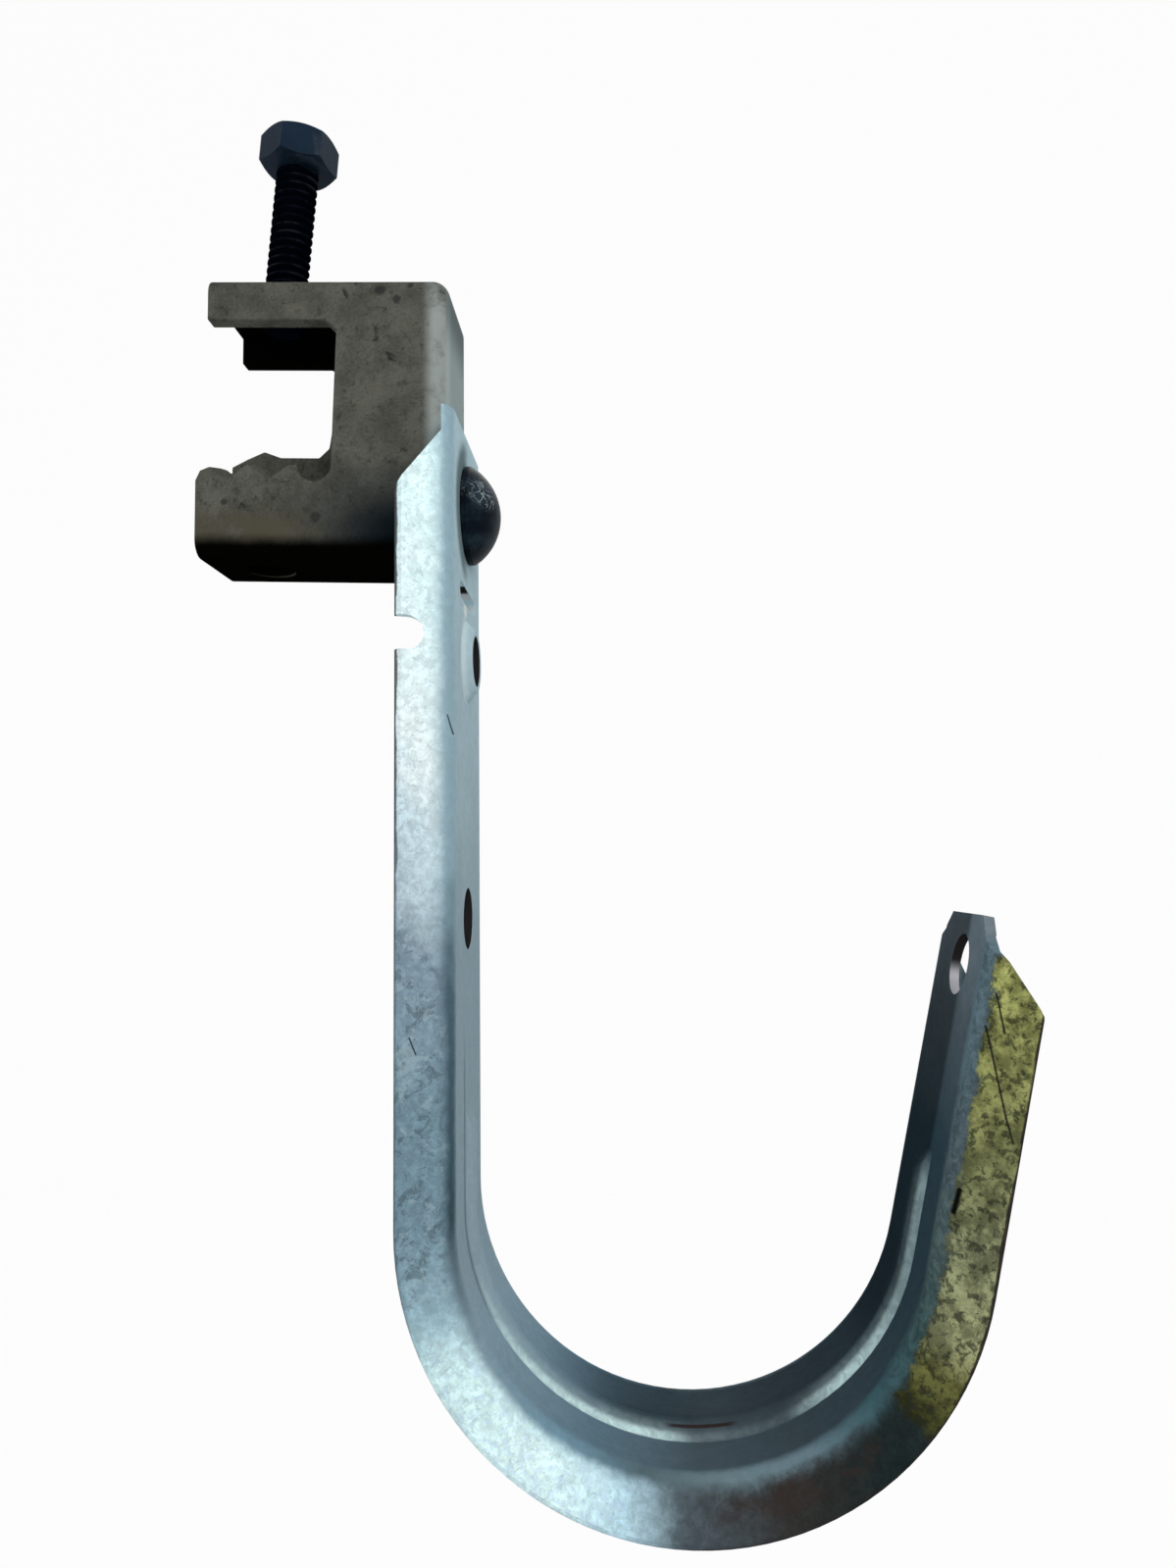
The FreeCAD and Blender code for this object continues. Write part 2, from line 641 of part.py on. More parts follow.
screw = new_body("set_screw")
SCREW_HEAD_Z = "(clamp_top_z / cos(screw_tilt * 1 deg) + screw_out)"
head = new_sketch(screw, "XY_Plane", "HeadHexagon", offset=SCREW_HEAD_Z)
polygon(head, [
    (f"head_flats / sqrt(3) * cos({turn} + head_turn * 1 deg)",
     f"head_flats / sqrt(3) * sin({turn} + head_turn * 1 deg)")
    for turn in ("0 deg", "60 deg", "120 deg", "180 deg", "240 deg", "300 deg")
])
pad(screw, head, "Head", "head_height")
bevel = new_sketch(screw, "XZ_Plane", "HeadBevel")
for end, away in (("0", "0 - 1"), ("head_height", "1")):
    polygon(bevel, [
        ("head_flats / 2", f"{SCREW_HEAD_Z} + {end}"),
        ("head_flats / 2 + 3", f"{SCREW_HEAD_Z} + {end}"),
        ("head_flats / 2 + 3", f"{SCREW_HEAD_Z} + {end} - ({away}) * 3 * tan(head_bevel * 1 deg)"),
    ])
axis_line(bevel, ("0", "1"), ("0", "10"))
turned(screw, "Groove", bevel, "HeadBevelCut")
shank = new_sketch(screw, "XZ_Plane", "Shank")
polygon(shank, [
    ("0", f"{SCREW_HEAD_Z} + head_height / 2"),
    ("screw_radius", f"{SCREW_HEAD_Z} + head_height / 2"),
    ("screw_radius", f"{SCREW_HEAD_Z} - screw_length + screw_point"),
    ("screw_radius - screw_point", f"{SCREW_HEAD_Z} - screw_length"),
    ("0", f"{SCREW_HEAD_Z} - screw_length"),
])
axis_line(shank, ("0", "1"), ("0", "10"))
turned(screw, "Revolution", shank, "ScrewShank")
screw.Placement = Placement(Vector(0, 0, 0), Rotation(Vector(0, 1, 0), value("screw_tilt")))
screw.setExpression("Placement.Rotation.Angle", bound("screw_tilt"))

# The rivet, turned about its own axis across the webs

rivet = new_body("rivet")
shape = new_sketch(rivet, "XZ_Plane", "RivetShape")
CLAMP_FACE = "web_back_x - plate"
corners = [
    ("web_face_x + dome_height", "rivet_z"),
    (f"{CLAMP_FACE} - tail_height", "rivet_z"),
    (f"{CLAMP_FACE} - tail_height", "rivet_z + tail_radius - tail_bevel"),
    (f"{CLAMP_FACE} - tail_height + tail_bevel", "rivet_z + tail_radius"),
    (f"{CLAMP_FACE}", "rivet_z + tail_radius"),
    (f"{CLAMP_FACE}", "rivet_z + rivet_radius"),
    ("web_face_x", "rivet_z + rivet_radius"),
    ("web_face_x", "rivet_z + dome_radius"),
    ("web_face_x + dome_rim", "rivet_z + dome_radius"),
]
spots = [Vector(value(across), value(up), 0) for across, up in corners]
for before, after in zip(spots, spots[1:]):
    shape.addGeometry(Part.LineSegment(before, after), False)
rise = value("dome_height - dome_rim")
wide = value("dome_radius")
arc_radius = (wide * wide + rise * rise) / (2 * rise)
centre = spots[0] - Vector(arc_radius, 0, 0)
middle = centre + ((spots[0] + spots[-1]) * 0.5 - centre).normalize() * arc_radius
shape.addGeometry(Part.Arc(spots[-1], middle, spots[0]), False)
for step in range(len(corners) - 1):
    shape.addConstraint(Sketcher.Constraint("Coincident", step, 2, step + 1, 2 if step == 7 else 1))
shape.addConstraint(Sketcher.Constraint("Coincident", len(corners) - 1, 1, 0, 1))
for step, corner in enumerate(corners[:-1]):
    pin(shape, step, 1, *corner)
pin(shape, len(corners) - 2, 2, *corners[-1])
DOME_ARC = "(dome_radius * dome_radius + (dome_height - dome_rim) * (dome_height - dome_rim))"
DOME_ARC += " / (2 * (dome_height - dome_rim))"
number = shape.addConstraint(Sketcher.Constraint("Radius", len(corners) - 1, value(DOME_ARC)))
shape.setExpression(f"Constraints[{number}]", bound(DOME_ARC))
axis_line(shape, (f"{CLAMP_FACE}", "rivet_z"), ("web_face_x", "rivet_z"))
turned(rivet, "Revolution", shape, "RivetTurned")

doc.recompute()
for item in doc.Objects:
    assert not {"Invalid", "Error"} & set(item.State), item.Label
os.makedirs("parts", exist_ok=True)
for body in (hook, clamp, screw, rivet):
    assert not body.Shape.isNull() and body.Shape.isValid(), body.Label
    assert len(body.Shape.Solids) == 1, body.Label
    body.Shape.exportStep(f"parts/{body.Label}.step")
    print(body.Label, round(body.Shape.Volume, 1), body.Shape.BoundBox)
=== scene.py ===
import math
from types import SimpleNamespace

import bmesh
import bpy
from mathutils import Matrix, Vector


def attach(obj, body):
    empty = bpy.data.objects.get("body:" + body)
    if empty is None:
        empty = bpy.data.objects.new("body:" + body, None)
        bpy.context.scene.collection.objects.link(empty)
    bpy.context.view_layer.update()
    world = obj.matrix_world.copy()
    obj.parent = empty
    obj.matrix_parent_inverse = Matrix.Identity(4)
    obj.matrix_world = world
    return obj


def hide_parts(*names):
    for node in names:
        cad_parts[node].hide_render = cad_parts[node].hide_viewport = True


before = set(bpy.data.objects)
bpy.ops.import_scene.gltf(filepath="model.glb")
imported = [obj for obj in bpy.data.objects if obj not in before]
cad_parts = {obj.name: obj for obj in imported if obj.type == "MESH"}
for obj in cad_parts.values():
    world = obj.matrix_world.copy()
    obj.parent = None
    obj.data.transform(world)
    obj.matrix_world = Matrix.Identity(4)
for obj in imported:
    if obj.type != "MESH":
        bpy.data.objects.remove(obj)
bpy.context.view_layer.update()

# shared by the finishes
cradle = {"centreX": 0.060, "centreZ": -0.1108, "radius": 0.03075}  # its half turn, in metres
edgeTint = (0.10, 0.12, 0.13)  # what the steel reflects at a grazing view


# camera, light and ground

camera = {
    "place": (0.054442, -0.163087, -0.064545),
    "turn": 2.802,  # degrees, to the left
    "tilt": 4.183,  # upwards
    "roll": 0.811,
    "lens": 26.12,
    "sensor": 36.0,
    "nearest": 0.005,
    "farthest": 20.0,
}

lamps = {
    # name: (place, looks at, width, watts, colour)
    "keyLamp": ((0.55, -0.75, 0.45), (0.03, 0.0, -0.08), 0.7, 4.6, (1.0, 0.985, 0.96)),
    "fillLamp": ((-0.65, -0.55, 0.05), (0.03, 0.0, -0.08), 0.8, 1.3, (0.9, 0.96, 1.0)),
    "rimLamp": ((0.1, 0.7, 0.6), (0.03, 0.0, -0.05), 0.6, 1.6, (0.95, 0.98, 1.0)),
}

surround = {
    "floorZ": -0.42,
    "wallY": 1.1,
    "half": 2.4,
    "grey": 0.9,
    "rough": 0.9,
    "worldLevel": 0.42,
    "shadowShare": 0.05,  # how much of its shading the ground shows
}


def newObject(name, data):
    made = bpy.data.objects.new(name, data)
    bpy.context.scene.collection.objects.link(made)
    return made


def placeCamera():
    data = bpy.data.cameras.new("photoCamera")
    data.sensor_width = camera["sensor"]
    data.lens = camera["lens"]
    data.clip_start = camera["nearest"]
    data.clip_end = camera["farthest"]
    made = newObject("photoCamera", data)
    made.matrix_world = (
        Matrix.Translation(camera["place"])
        @ Matrix.Rotation(math.radians(camera["roll"]), 4, "Y")
        @ Matrix.Rotation(math.radians(camera["tilt"]), 4, "X")
        @ Matrix.Rotation(math.radians(camera["turn"]), 4, "Z")
        @ Matrix.Rotation(math.radians(90), 4, "X")
    )
    bpy.context.scene.camera = made


def placeLamps():
    for name, (place, aim, width, watts, colour) in lamps.items():
        data = bpy.data.lights.new(name, "AREA")
        data.shape = "DISK"
        data.size = width
        data.energy = watts
        data.color = colour
        made = newObject(name, data)
        made.location = place
        away = Vector(place) - Vector(aim)
        made.rotation_euler = away.to_track_quat("Z", "Y").to_euler()


def seenShare(tree):  # 1 for what the camera, a metal or a glass shows, 0 for what lights the object
    path = put(tree, "LightPath").outputs
    mirrored = calc(tree, "MAXIMUM", path["Is Glossy Ray"], path["Is Transmission Ray"])
    return calc(tree, "MAXIMUM", path["Is Camera Ray"], mirrored)


def groundFinish():
    made = bpy.data.materials.new("paleGround")
    made.use_nodes = True
    tree = made.node_tree
    shader = tree.nodes["Principled BSDF"]
    shader.inputs["Base Color"].default_value = (surround["grey"], surround["grey"], surround["grey"], 1.0)
    shader.inputs["Roughness"].default_value = surround["rough"]
    glow = put(tree, "Emission", {"Color": (1, 1, 1, 1), "Strength": 1.0}).outputs[0]
    share = calc(tree, "MULTIPLY", seenShare(tree), 1.0 - surround["shadowShare"])
    both = put(tree, "MixShader", {0: share, 1: shader.outputs[0], 2: glow}).outputs[0]
    tree.links.new(both, tree.nodes["Material Output"].inputs["Surface"])
    return made


def buildSurround():
    finish = groundFinish()
    for name, turn, place in (
        ("floor", 0, (0, 0, surround["floorZ"])),
        ("backWall", 90, (0, surround["wallY"], surround["floorZ"] + surround["half"])),
    ):
        shape = bmesh.new()
        bmesh.ops.create_grid(shape, x_segments=1, y_segments=1, size=surround["half"])
        matrix = Matrix.Translation(place) @ Matrix.Rotation(math.radians(turn), 4, "X")
        bmesh.ops.transform(shape, matrix=matrix, verts=shape.verts)
        mesh = bpy.data.meshes.new(name)
        shape.to_mesh(mesh)
        shape.free()
        mesh.materials.append(finish)
        piece = newObject(name, mesh)
    world = bpy.data.worlds.new("studio")
    bpy.context.scene.world = world
    world.use_nodes = True
    tree = world.node_tree
    level = surround["worldLevel"]
    strength = calc(tree, "MULTIPLY_ADD", seenShare(tree), 1.0 - level, level)
    ground = tree.nodes["Background"]
    ground.inputs["Color"].default_value = (1, 1, 1, 1)
    tree.links.new(strength, ground.inputs["Strength"])


# node helpers

def put(tree, kind, inputs=None, **settings):
    made = tree.nodes.new("ShaderNode" + kind)
    for key, setting in settings.items():
        setattr(made, key, setting)
    for key, given in (inputs or {}).items():
        if isinstance(given, bpy.types.NodeSocket):
            tree.links.new(given, made.inputs[key])
        else:
            made.inputs[key].default_value = given
    return made


def calc(tree, operation, *inputs):
    return put(tree, "Math", dict(enumerate(inputs)), operation=operation).outputs[0]


def product(tree, *given):
    result = given[0]
    for each in given[1:]:
        result = calc(tree, "MULTIPLY", result, each)
    return result


def apart(tree, first, second):  # the length of two offsets at a right angle
    squares = calc(tree, "MULTIPLY_ADD", first, first, calc(tree, "MULTIPLY", second, second))
    return calc(tree, "SQRT", squares)


def fade(tree, given, low, high):  # 0 before low, 1 past high, and high may be the smaller number
    inputs = {"Value": given, "From Min": low, "From Max": high}
    return put(tree, "MapRange", inputs, interpolation_type="SMOOTHSTEP").outputs[0]


def between(tree, given, low, high, soft):  # 1 from low to high, 0 beyond
    return calc(tree, "MULTIPLY", fade(tree, given, low - soft, low), fade(tree, given, high + soft, high))


def placed(tree, at, look, *measures):
    # 1 where each named measure is in the span that the look gives for it
    # a span of two numbers fades from 0 to 1, and one of three is low, high and softness
    shares = []
    for measure in measures:
        span = look[measure]
        inside = fade if len(span) == 2 else between
        shares.append(inside(tree, getattr(at, measure), *span))
    return product(tree, *shares)


def noise(tree, where, scale, detail, rough, distort=0.0):
    inputs = {"Vector": where, "Scale": scale, "Detail": detail, "Roughness": rough, "Distortion": distort}
    return put(tree, "TexNoise", inputs).outputs[0]


def noises(tree, where, table):  # one pattern for each row of scale, detail, roughness and distortion
    return {name: noise(tree, where, *row) for name, row in table.items()}


def wavered(tree, given, pattern, width):  # shifted to and fro by a pattern
    return calc(tree, "MULTIPLY_ADD", pattern, width, calc(tree, "ADD", given, -width / 2))


def mixed(tree, share, first, second):
    tints = [tint if isinstance(tint, bpy.types.NodeSocket) else (*tint, 1.0) for tint in (first, second)]
    return put(tree, "Mix", {0: share, 6: tints[0], 7: tints[1]}, data_type="RGBA").outputs[2]


def laid(tree, coat, colour, strength, *shares):  # a colour laid over the coat where all the shares are 1
    return mixed(tree, product(tree, *shares, strength), coat, colour)


def dimmed(tree, colour, level):
    grey = put(tree, "CombineColor", {0: level, 1: level, 2: level}).outputs[0]
    inputs = {0: 1.0, 6: colour, 7: grey}
    return put(tree, "Mix", inputs, data_type="RGBA", blend_type="MULTIPLY").outputs[2]


def stepped(tree, given, stops):  # a colour ramp from (place, colour) pairs
    ramp = put(tree, "ValToRGB", {0: given})
    bar = ramp.color_ramp.elements
    while len(bar) > 1:
        bar.remove(bar[-1])
    for count, (place, colour) in enumerate(stops):
        stop = bar[0] if count == 0 else bar.new(place)
        stop.position = place
        stop.color = (*colour, 1.0)
    return ramp.outputs[0]


def levels(tree, given, stops):  # a plain number from (place, number) pairs
    greys = stepped(tree, given, [(place, (level, level, level)) for place, level in stops])
    return put(tree, "SeparateColor", {0: greys}).outputs[0]


def nearLine(tree, across, up, start, end, width, core=0.3):
    # 1 on the line from start to end, 0 beyond its width, in the plane of the two coordinates
    run = Vector(end) - Vector(start)
    fromX = calc(tree, "SUBTRACT", across, start[0])
    fromZ = calc(tree, "SUBTRACT", up, start[1])
    alongX = calc(tree, "MULTIPLY", fromX, run.x / run.length_squared)
    share = calc(tree, "MULTIPLY_ADD", fromZ, run.y / run.length_squared, alongX)
    share = put(tree, "Clamp", {"Value": share}).outputs[0]
    offX = calc(tree, "SUBTRACT", fromX, calc(tree, "MULTIPLY", share, run.x))
    offZ = calc(tree, "SUBTRACT", fromZ, calc(tree, "MULTIPLY", share, run.y))
    return fade(tree, apart(tree, offX, offZ), width, width * core)


def newFinish(name):
    made = bpy.data.materials.new(name)
    made.use_nodes = True
    tree = made.node_tree
    where = put(tree, "TexCoord").outputs["Object"]
    return made, tree, where


def dress(tree, look, colour, rough, height):
    # wires the colour, roughness and bump of a finish, and sets what is the same all over it
    shader = tree.nodes["Principled BSDF"]
    shader.inputs["Metallic"].default_value = look["metal"]
    shader.inputs["Specular IOR Level"].default_value = look["specular"]
    shader.inputs["Specular Tint"].default_value = (*edgeTint, 1.0)
    distance, strength = look["bump"]
    bump = put(tree, "Bump", {"Height": height, "Distance": distance, "Strength": strength}).outputs[0]
    for socket, given in (("Base Color", colour), ("Roughness", rough), ("Normal", bump)):
        tree.links.new(given, shader.inputs[socket])


# the hook's zinc and paint

zinc = {
    "metal": 0.12,
    "specular": 0.0,
    "rough": (0.28, 0.25, 0.25),  # at least, more by the broad noise, more under paint
    "bump": (0.00012, 0.55),  # metres, strength
    "heights": (0.4, 0.7, -0.5),  # of the fine noise, the paint and the paint's worn places
    "tipLean": 12.0,  # degrees
    "noises": {
        # name: scale, detail, roughness, distortion
        "broad": (330.0, 6.0, 0.65, 0.6),
        "fine": (1100.0, 6.0, 0.7),
        "patches": (95.0, 5.0, 0.6),
        "blotches": (640.0, 5.0, 0.6, 0.9),
        "rustSpots": (260.0, 9.0, 0.8, 0.4),
        "paintSide": (170.0, 7.0, 0.8),
        "paintEnd": (320.0, 6.0, 0.75),
        "paintGaps": (520.0, 6.0, 0.75, 0.8),
        "paintShade": (240.0, 7.0, 0.75),
        "paintWear": (780.0, 5.0, 0.7, 0.3),
        "edgeDepth": (150.0, 5.0, 0.6),
    },
    # places along the strip go from 0 above the leg, over 0.5 below the cradle, to 1 above the tip
    # all other places and widths are in metres
    "onLeg": (0.3, 0.2),
    "toneWander": 0.04,
    "sideWander": 0.0012,
    "bendFrom": (0.0105, 0.0124),
    "flangeFrom": (0.0126, 0.0143),
    "legTop": {"along": (0.16, 0.11), "shift": -0.0005},
    "tipBend": {"along": (0.60, 0.68), "shift": 0.0032},
    "farHalfShade": {  # painted shade: the web's far half is darker from the cradle on
        "acrossY": (-0.0034, -0.0012),
        "along": (0.37, 0.46),
        "dimming": -0.55,
        "lighterAlong": (0.52, 0.62, 0.05),
        "lighter": 0.30,
    },
    # the tones along the strip are partly the zinc's own and partly painted light: the near-white stops are
    # painted highlights and the darkest stops are painted shade
    "flangeTones": (
        (0.045, (0.66, 0.90, 0.93)),
        (0.082, (0.83, 0.95, 0.97)),
        (0.098, (0.64, 0.80, 0.87)),
        (0.130, (0.25, 0.35, 0.43)),
        (0.190, (0.195, 0.31, 0.375)),
        (0.250, (0.19, 0.30, 0.37)),
        (0.295, (0.34, 0.52, 0.61)),
        (0.335, (0.72, 0.97, 0.99)),
        (0.410, (0.76, 0.99, 0.99)),
        (0.455, (0.54, 0.79, 0.90)),
        (0.490, (0.080, 0.104, 0.122)),
        (0.550, (0.036, 0.036, 0.034)),
        (0.620, (0.014, 0.024, 0.025)),
        (0.700, (0.036, 0.044, 0.046)),
    ),
    "bendTones": (
        (0.045, (0.33, 0.49, 0.57)),
        (0.095, (0.30, 0.45, 0.53)),
        (0.125, (0.09, 0.155, 0.20)),
        (0.240, (0.052, 0.094, 0.115)),
        (0.330, (0.28, 0.40, 0.48)),
        (0.410, (0.19, 0.34, 0.44)),
        (0.470, (0.10, 0.155, 0.178)),
        (0.515, (0.17, 0.25, 0.28)),
        (0.575, (0.165, 0.25, 0.295)),
        (0.630, (0.064, 0.140, 0.165)),
        (0.680, (0.062, 0.115, 0.118)),
        (0.740, (0.110, 0.165, 0.165)),
        (0.790, (0.112, 0.160, 0.178)),
        (0.850, (0.150, 0.225, 0.262)),
    ),
    "webTones": (
        (0.045, (0.50, 0.67, 0.74)),
        (0.110, (0.33, 0.44, 0.50)),
        (0.250, (0.33, 0.44, 0.50)),
        (0.340, (0.27, 0.39, 0.47)),
        (0.420, (0.145, 0.235, 0.30)),
        (0.500, (0.070, 0.098, 0.116)),
        (0.570, (0.056, 0.078, 0.094)),
        (0.700, (0.042, 0.074, 0.094)),
        (0.795, (0.042, 0.076, 0.098)),
        (0.850, (0.115, 0.150, 0.172)),
        (0.888, (0.26, 0.32, 0.36)),
    ),
    "crystals": {
        "scale": 700.0,
        "jumbleScale": 420.0,
        "jumble": 0.25,
        "weights": (0.16, 0.35, 0.6),  # of the cells, the fine noise and the blotches
        "span": (0.46, 0.68),
        "contrast": 0.12,
        "flangeContrast": 0.26,
        "tipBend": {"side": (0.0112, 0.0150, 0.0010), "along": (0.62, 0.68), "contrast": 0.55},
    },
    "layers": (
        # noise, its span, along the strip, strength, colour: flecks, stains, pale skin and lilac sheen
        ((1300.0, 3.0, 0.55, 1.2), (0.56, 0.62), (0.0, 0.47, 0.02), 0.30, (0.24, 0.36, 0.44)),
        ((380.0, 8.0, 0.8, 0.8), (0.53, 0.57), (0.13, 0.28, 0.02), 0.5, (0.055, 0.080, 0.092)),
        ((300.0, 7.0, 0.75, 0.6), (0.56, 0.59), (0.12, 0.31, 0.02), 0.4, (0.40, 0.53, 0.58)),
        ((900.0, 2.0, 0.5, 1.0), (0.53, 0.58), (0.33, 0.46, 0.02), 0.34, (0.50, 0.66, 0.88)),
    ),
    "bead": {  # painted highlight along its near foot
        "colour": (0.76, 1.0, 1.0),
        "tipSide": {"along": (0.54, 0.60), "shift": -0.0005},
        "starts": (-0.0041, -0.0037),
        "narrow": ((-0.0021, -0.0031), 0.8),
        "wide": ((-0.0002, -0.0024), 0.2),
        "uneven": ((0.35, 0.65), 0.35, 0.65),  # span of the blotches, share, the rest
        "shares": (
            (0.290, 0.0),
            (0.330, 0.4),
            (0.370, 0.9),
            (0.455, 1.0),
            (0.480, 0.80),
            (0.500, 0.15),
            (0.568, 0.05),
            (0.600, 0.75),
            (0.620, 1.0),
            (0.650, 0.9),
            (0.690, 0.5),
            (0.765, 0.45),
            (0.785, 0.0),
        ),
    },
    # painted shade in the crease at the bead's near foot
    "beadDirt": {"acrossY": (-0.0042, -0.0036, 0.0006), "along": (0.17, 0.31, 0.03), "dimming": -0.35},
    "beadSlit": {
        "acrossY": (-0.00175, -0.0014, 0.00025),
        "along": (0.487, 0.525, 0.010),
        "colour": (0.030, 0.014, 0.012),
        "strength": 0.85,
    },
    "rust": {
        "along": (0.525, 0.600, 0.03),
        "side": (0.0136, 0.0148, 0.0008),
        "span": (0.40, 0.66),
        "colour": (0.041, 0.028, 0.025),
        "strength": 0.85,
    },
    "paint": {  # worn olive yellow, on the near flange of the tip leg
        "sideWander": 0.0042,
        "side": (0.0131, 0.0136),
        "endWander": 0.03,
        "starts": (0.650, 0.658),
        "ends": (0.890, 0.880),
        "gaps": (0.66, 0.60),
        "shade": ((0.40, 0.62), 0.85, 0.5),  # span of the noise, share, the rest
        "wear": ((0.50, 0.60), 0.75),
        "wornColour": (0.022, 0.026, 0.018),
        "tones": (
            (0.637, (0.040, 0.045, 0.016)),
            (0.650, (0.075, 0.080, 0.026)),
            (0.668, (0.150, 0.152, 0.049)),
            (0.690, (0.36, 0.38, 0.20)),
            (0.740, (0.27, 0.29, 0.16)),
            (0.790, (0.225, 0.240, 0.100)),
            (0.850, (0.38, 0.395, 0.135)),
        ),
    },
    "cutEdge": {
        "colour": (0.028, 0.022, 0.022),
        "wander": 0.0012,
        "depth": (0.00685, 0.00712),
        "tipSide": {"along": (0.56, 0.66), "shift": 0.0002},
        "shares": ((0.050, 0.9), (0.100, 0.8), (0.140, 0.25), (0.460, 0.15), (0.560, 0.6), (0.640, 0.95)),
    },
    "scratches": {
        "colour": (0.012, 0.014, 0.014),
        "strength": 0.9,
        "sideways": (0.0100, 0.0110),
        "lines": (  # from, to in x and z, half width
            ((0.09925, -0.08125), (0.09985, -0.08600), 0.00020),
            ((0.09785, -0.08529), (0.09939, -0.09644), 0.00020),
            ((0.09939, -0.09644), (0.10000, -0.09944), 0.00016),
            ((0.02390, -0.08621), (0.02470, -0.08842), 0.00014),
            ((0.02850, -0.04392), (0.02910, -0.04640), 0.00012),
        ),
    },
    "nick": {  # a small dark cut in the near bend of the tip leg
        "line": ((0.0938, -0.1057), (0.0930, -0.1085), 0.00042),
        "sideways": (0.0112, 0.0140, 0.0003),
        "colour": (0.006, 0.006, 0.006),
    },
    "rivetRing": {  # the shade round the rivet's head
        "middleZ": -0.0128,
        "reach": (0.0114, 0.0088),
        "acrossY": (0.002, -0.004),
        "colour": (0.060, 0.100, 0.105),
        "strength": 0.75,
    },
    "bossRimHighlight": {  # painted highlight on the near edge of the boss
        "middleZ": -0.0344,
        "reach": (0.0056, 0.0064, 0.0007),
        "acrossY": (0.0, -0.003),
        "colour": (0.66, 0.80, 0.83),
        "strength": 0.5,
    },
    "slotHighlight": {  # painted highlight, a bright patch below the pry slot
        "middleY": -0.0022,
        "middleZ": -0.0274,
        "squash": 0.5,
        "wander": 0.0008,
        "reach": (0.0010, 0.0006),
        "colour": (0.82, 0.88, 0.88),
        "strength": 0.8,
    },
    "holes": (
        # measured up the leg or the tip leg, middle, half width, half height, depth of the rim
        ("tipRise", 0.0396, 0.0044, 0.0044, 0.00012),
        ("height", -0.0716, 0.0045, 0.0045, 0.00012),
        ("height", -0.0344, 0.0038, 0.0038, -0.00120),
        ("height", -0.0252, 0.0070, 0.0014, 0.00012),
    ),
    "holeReach": 1.0198,  # of a wall's colour, in half widths
    "holeRim": 0.00004,
    "holeEnd": (0.00144, 0.00140),
    # painted shade on the walls of the holes
    "shadedWall": (0.020, 0.018, 0.018),
    # painted light on the far end of the pry slot's wall
    "slotWallLit": {
        "acrossY": (0.0005, 0.0022),
        "height": (-0.0275, -0.0235, 0.0001),
        "colour": (0.55, 0.60, 0.62),
    },
    # painted light on the low wall of the tip hole
    "tipWallLit": {"tipRise": (0.0330, 0.0374, 0.0028), "colour": (0.42, 0.42, 0.46)},
}


def stripPlace(tree, acrossX, height):
    # where a point is on the bent strip: along it from 0 to 1, behind the web's face, and up the tip leg
    fromX = calc(tree, "SUBTRACT", acrossX, cradle["centreX"])
    fromZ = calc(tree, "SUBTRACT", height, cradle["centreZ"])
    turn = calc(tree, "ARCTAN2", fromX, calc(tree, "MULTIPLY", fromZ, -1.0))
    along = calc(tree, "MULTIPLY_ADD", turn, 0.5 / math.pi, 0.5)
    lean = math.radians(zinc["tipLean"])
    rise = calc(tree, "MULTIPLY_ADD", fromX, math.sin(lean), calc(tree, "MULTIPLY", fromZ, math.cos(lean)))
    out = calc(tree, "MULTIPLY_ADD", fromX, math.cos(lean), calc(tree, "MULTIPLY", fromZ, -math.sin(lean)))
    onTip = calc(tree, "GREATER_THAN", fromX, 0.0)
    fromMiddle = calc(tree, "ABSOLUTE", fromX)
    outward = calc(tree, "SUBTRACT", calc(tree, "ABSOLUTE", out), fromMiddle)
    sideways = calc(tree, "ADD", fromMiddle, calc(tree, "MULTIPLY", onTip, outward))
    upward = calc(tree, "MULTIPLY", onTip, calc(tree, "SUBTRACT", rise, fromZ))
    below = calc(tree, "MINIMUM", calc(tree, "ADD", fromZ, upward), 0.0)
    depth = calc(tree, "SUBTRACT", apart(tree, sideways, below), cradle["radius"])
    return along, depth, calc(tree, "MULTIPLY", onTip, rise)


def sheetPlaces(tree, where):  # the measures and noises that place the layers of the hook's finish
    acrossX, acrossY, height = put(tree, "SeparateXYZ", {0: where}).outputs
    along, depth, tipRise = stripPlace(tree, acrossX, height)
    at = SimpleNamespace(
        where=where,
        acrossX=acrossX,
        acrossY=acrossY,
        height=height,
        along=along,
        depth=depth,
        tipRise=tipRise,
        **noises(tree, where, zinc["noises"]),
    )
    at.sideways = calc(tree, "ABSOLUTE", acrossY)
    at.near = calc(tree, "LESS_THAN", acrossY, 0.0)
    at.side = wavered(tree, at.sideways, at.broad, zinc["sideWander"])
    onTop = placed(tree, at, zinc["legTop"], "along")
    flangeSide = calc(tree, "MULTIPLY_ADD", onTop, zinc["legTop"]["shift"], at.side)
    at.onFlange = fade(tree, flangeSide, *zinc["flangeFrom"])
    at.onLeg = fade(tree, along, *zinc["onLeg"])
    return at


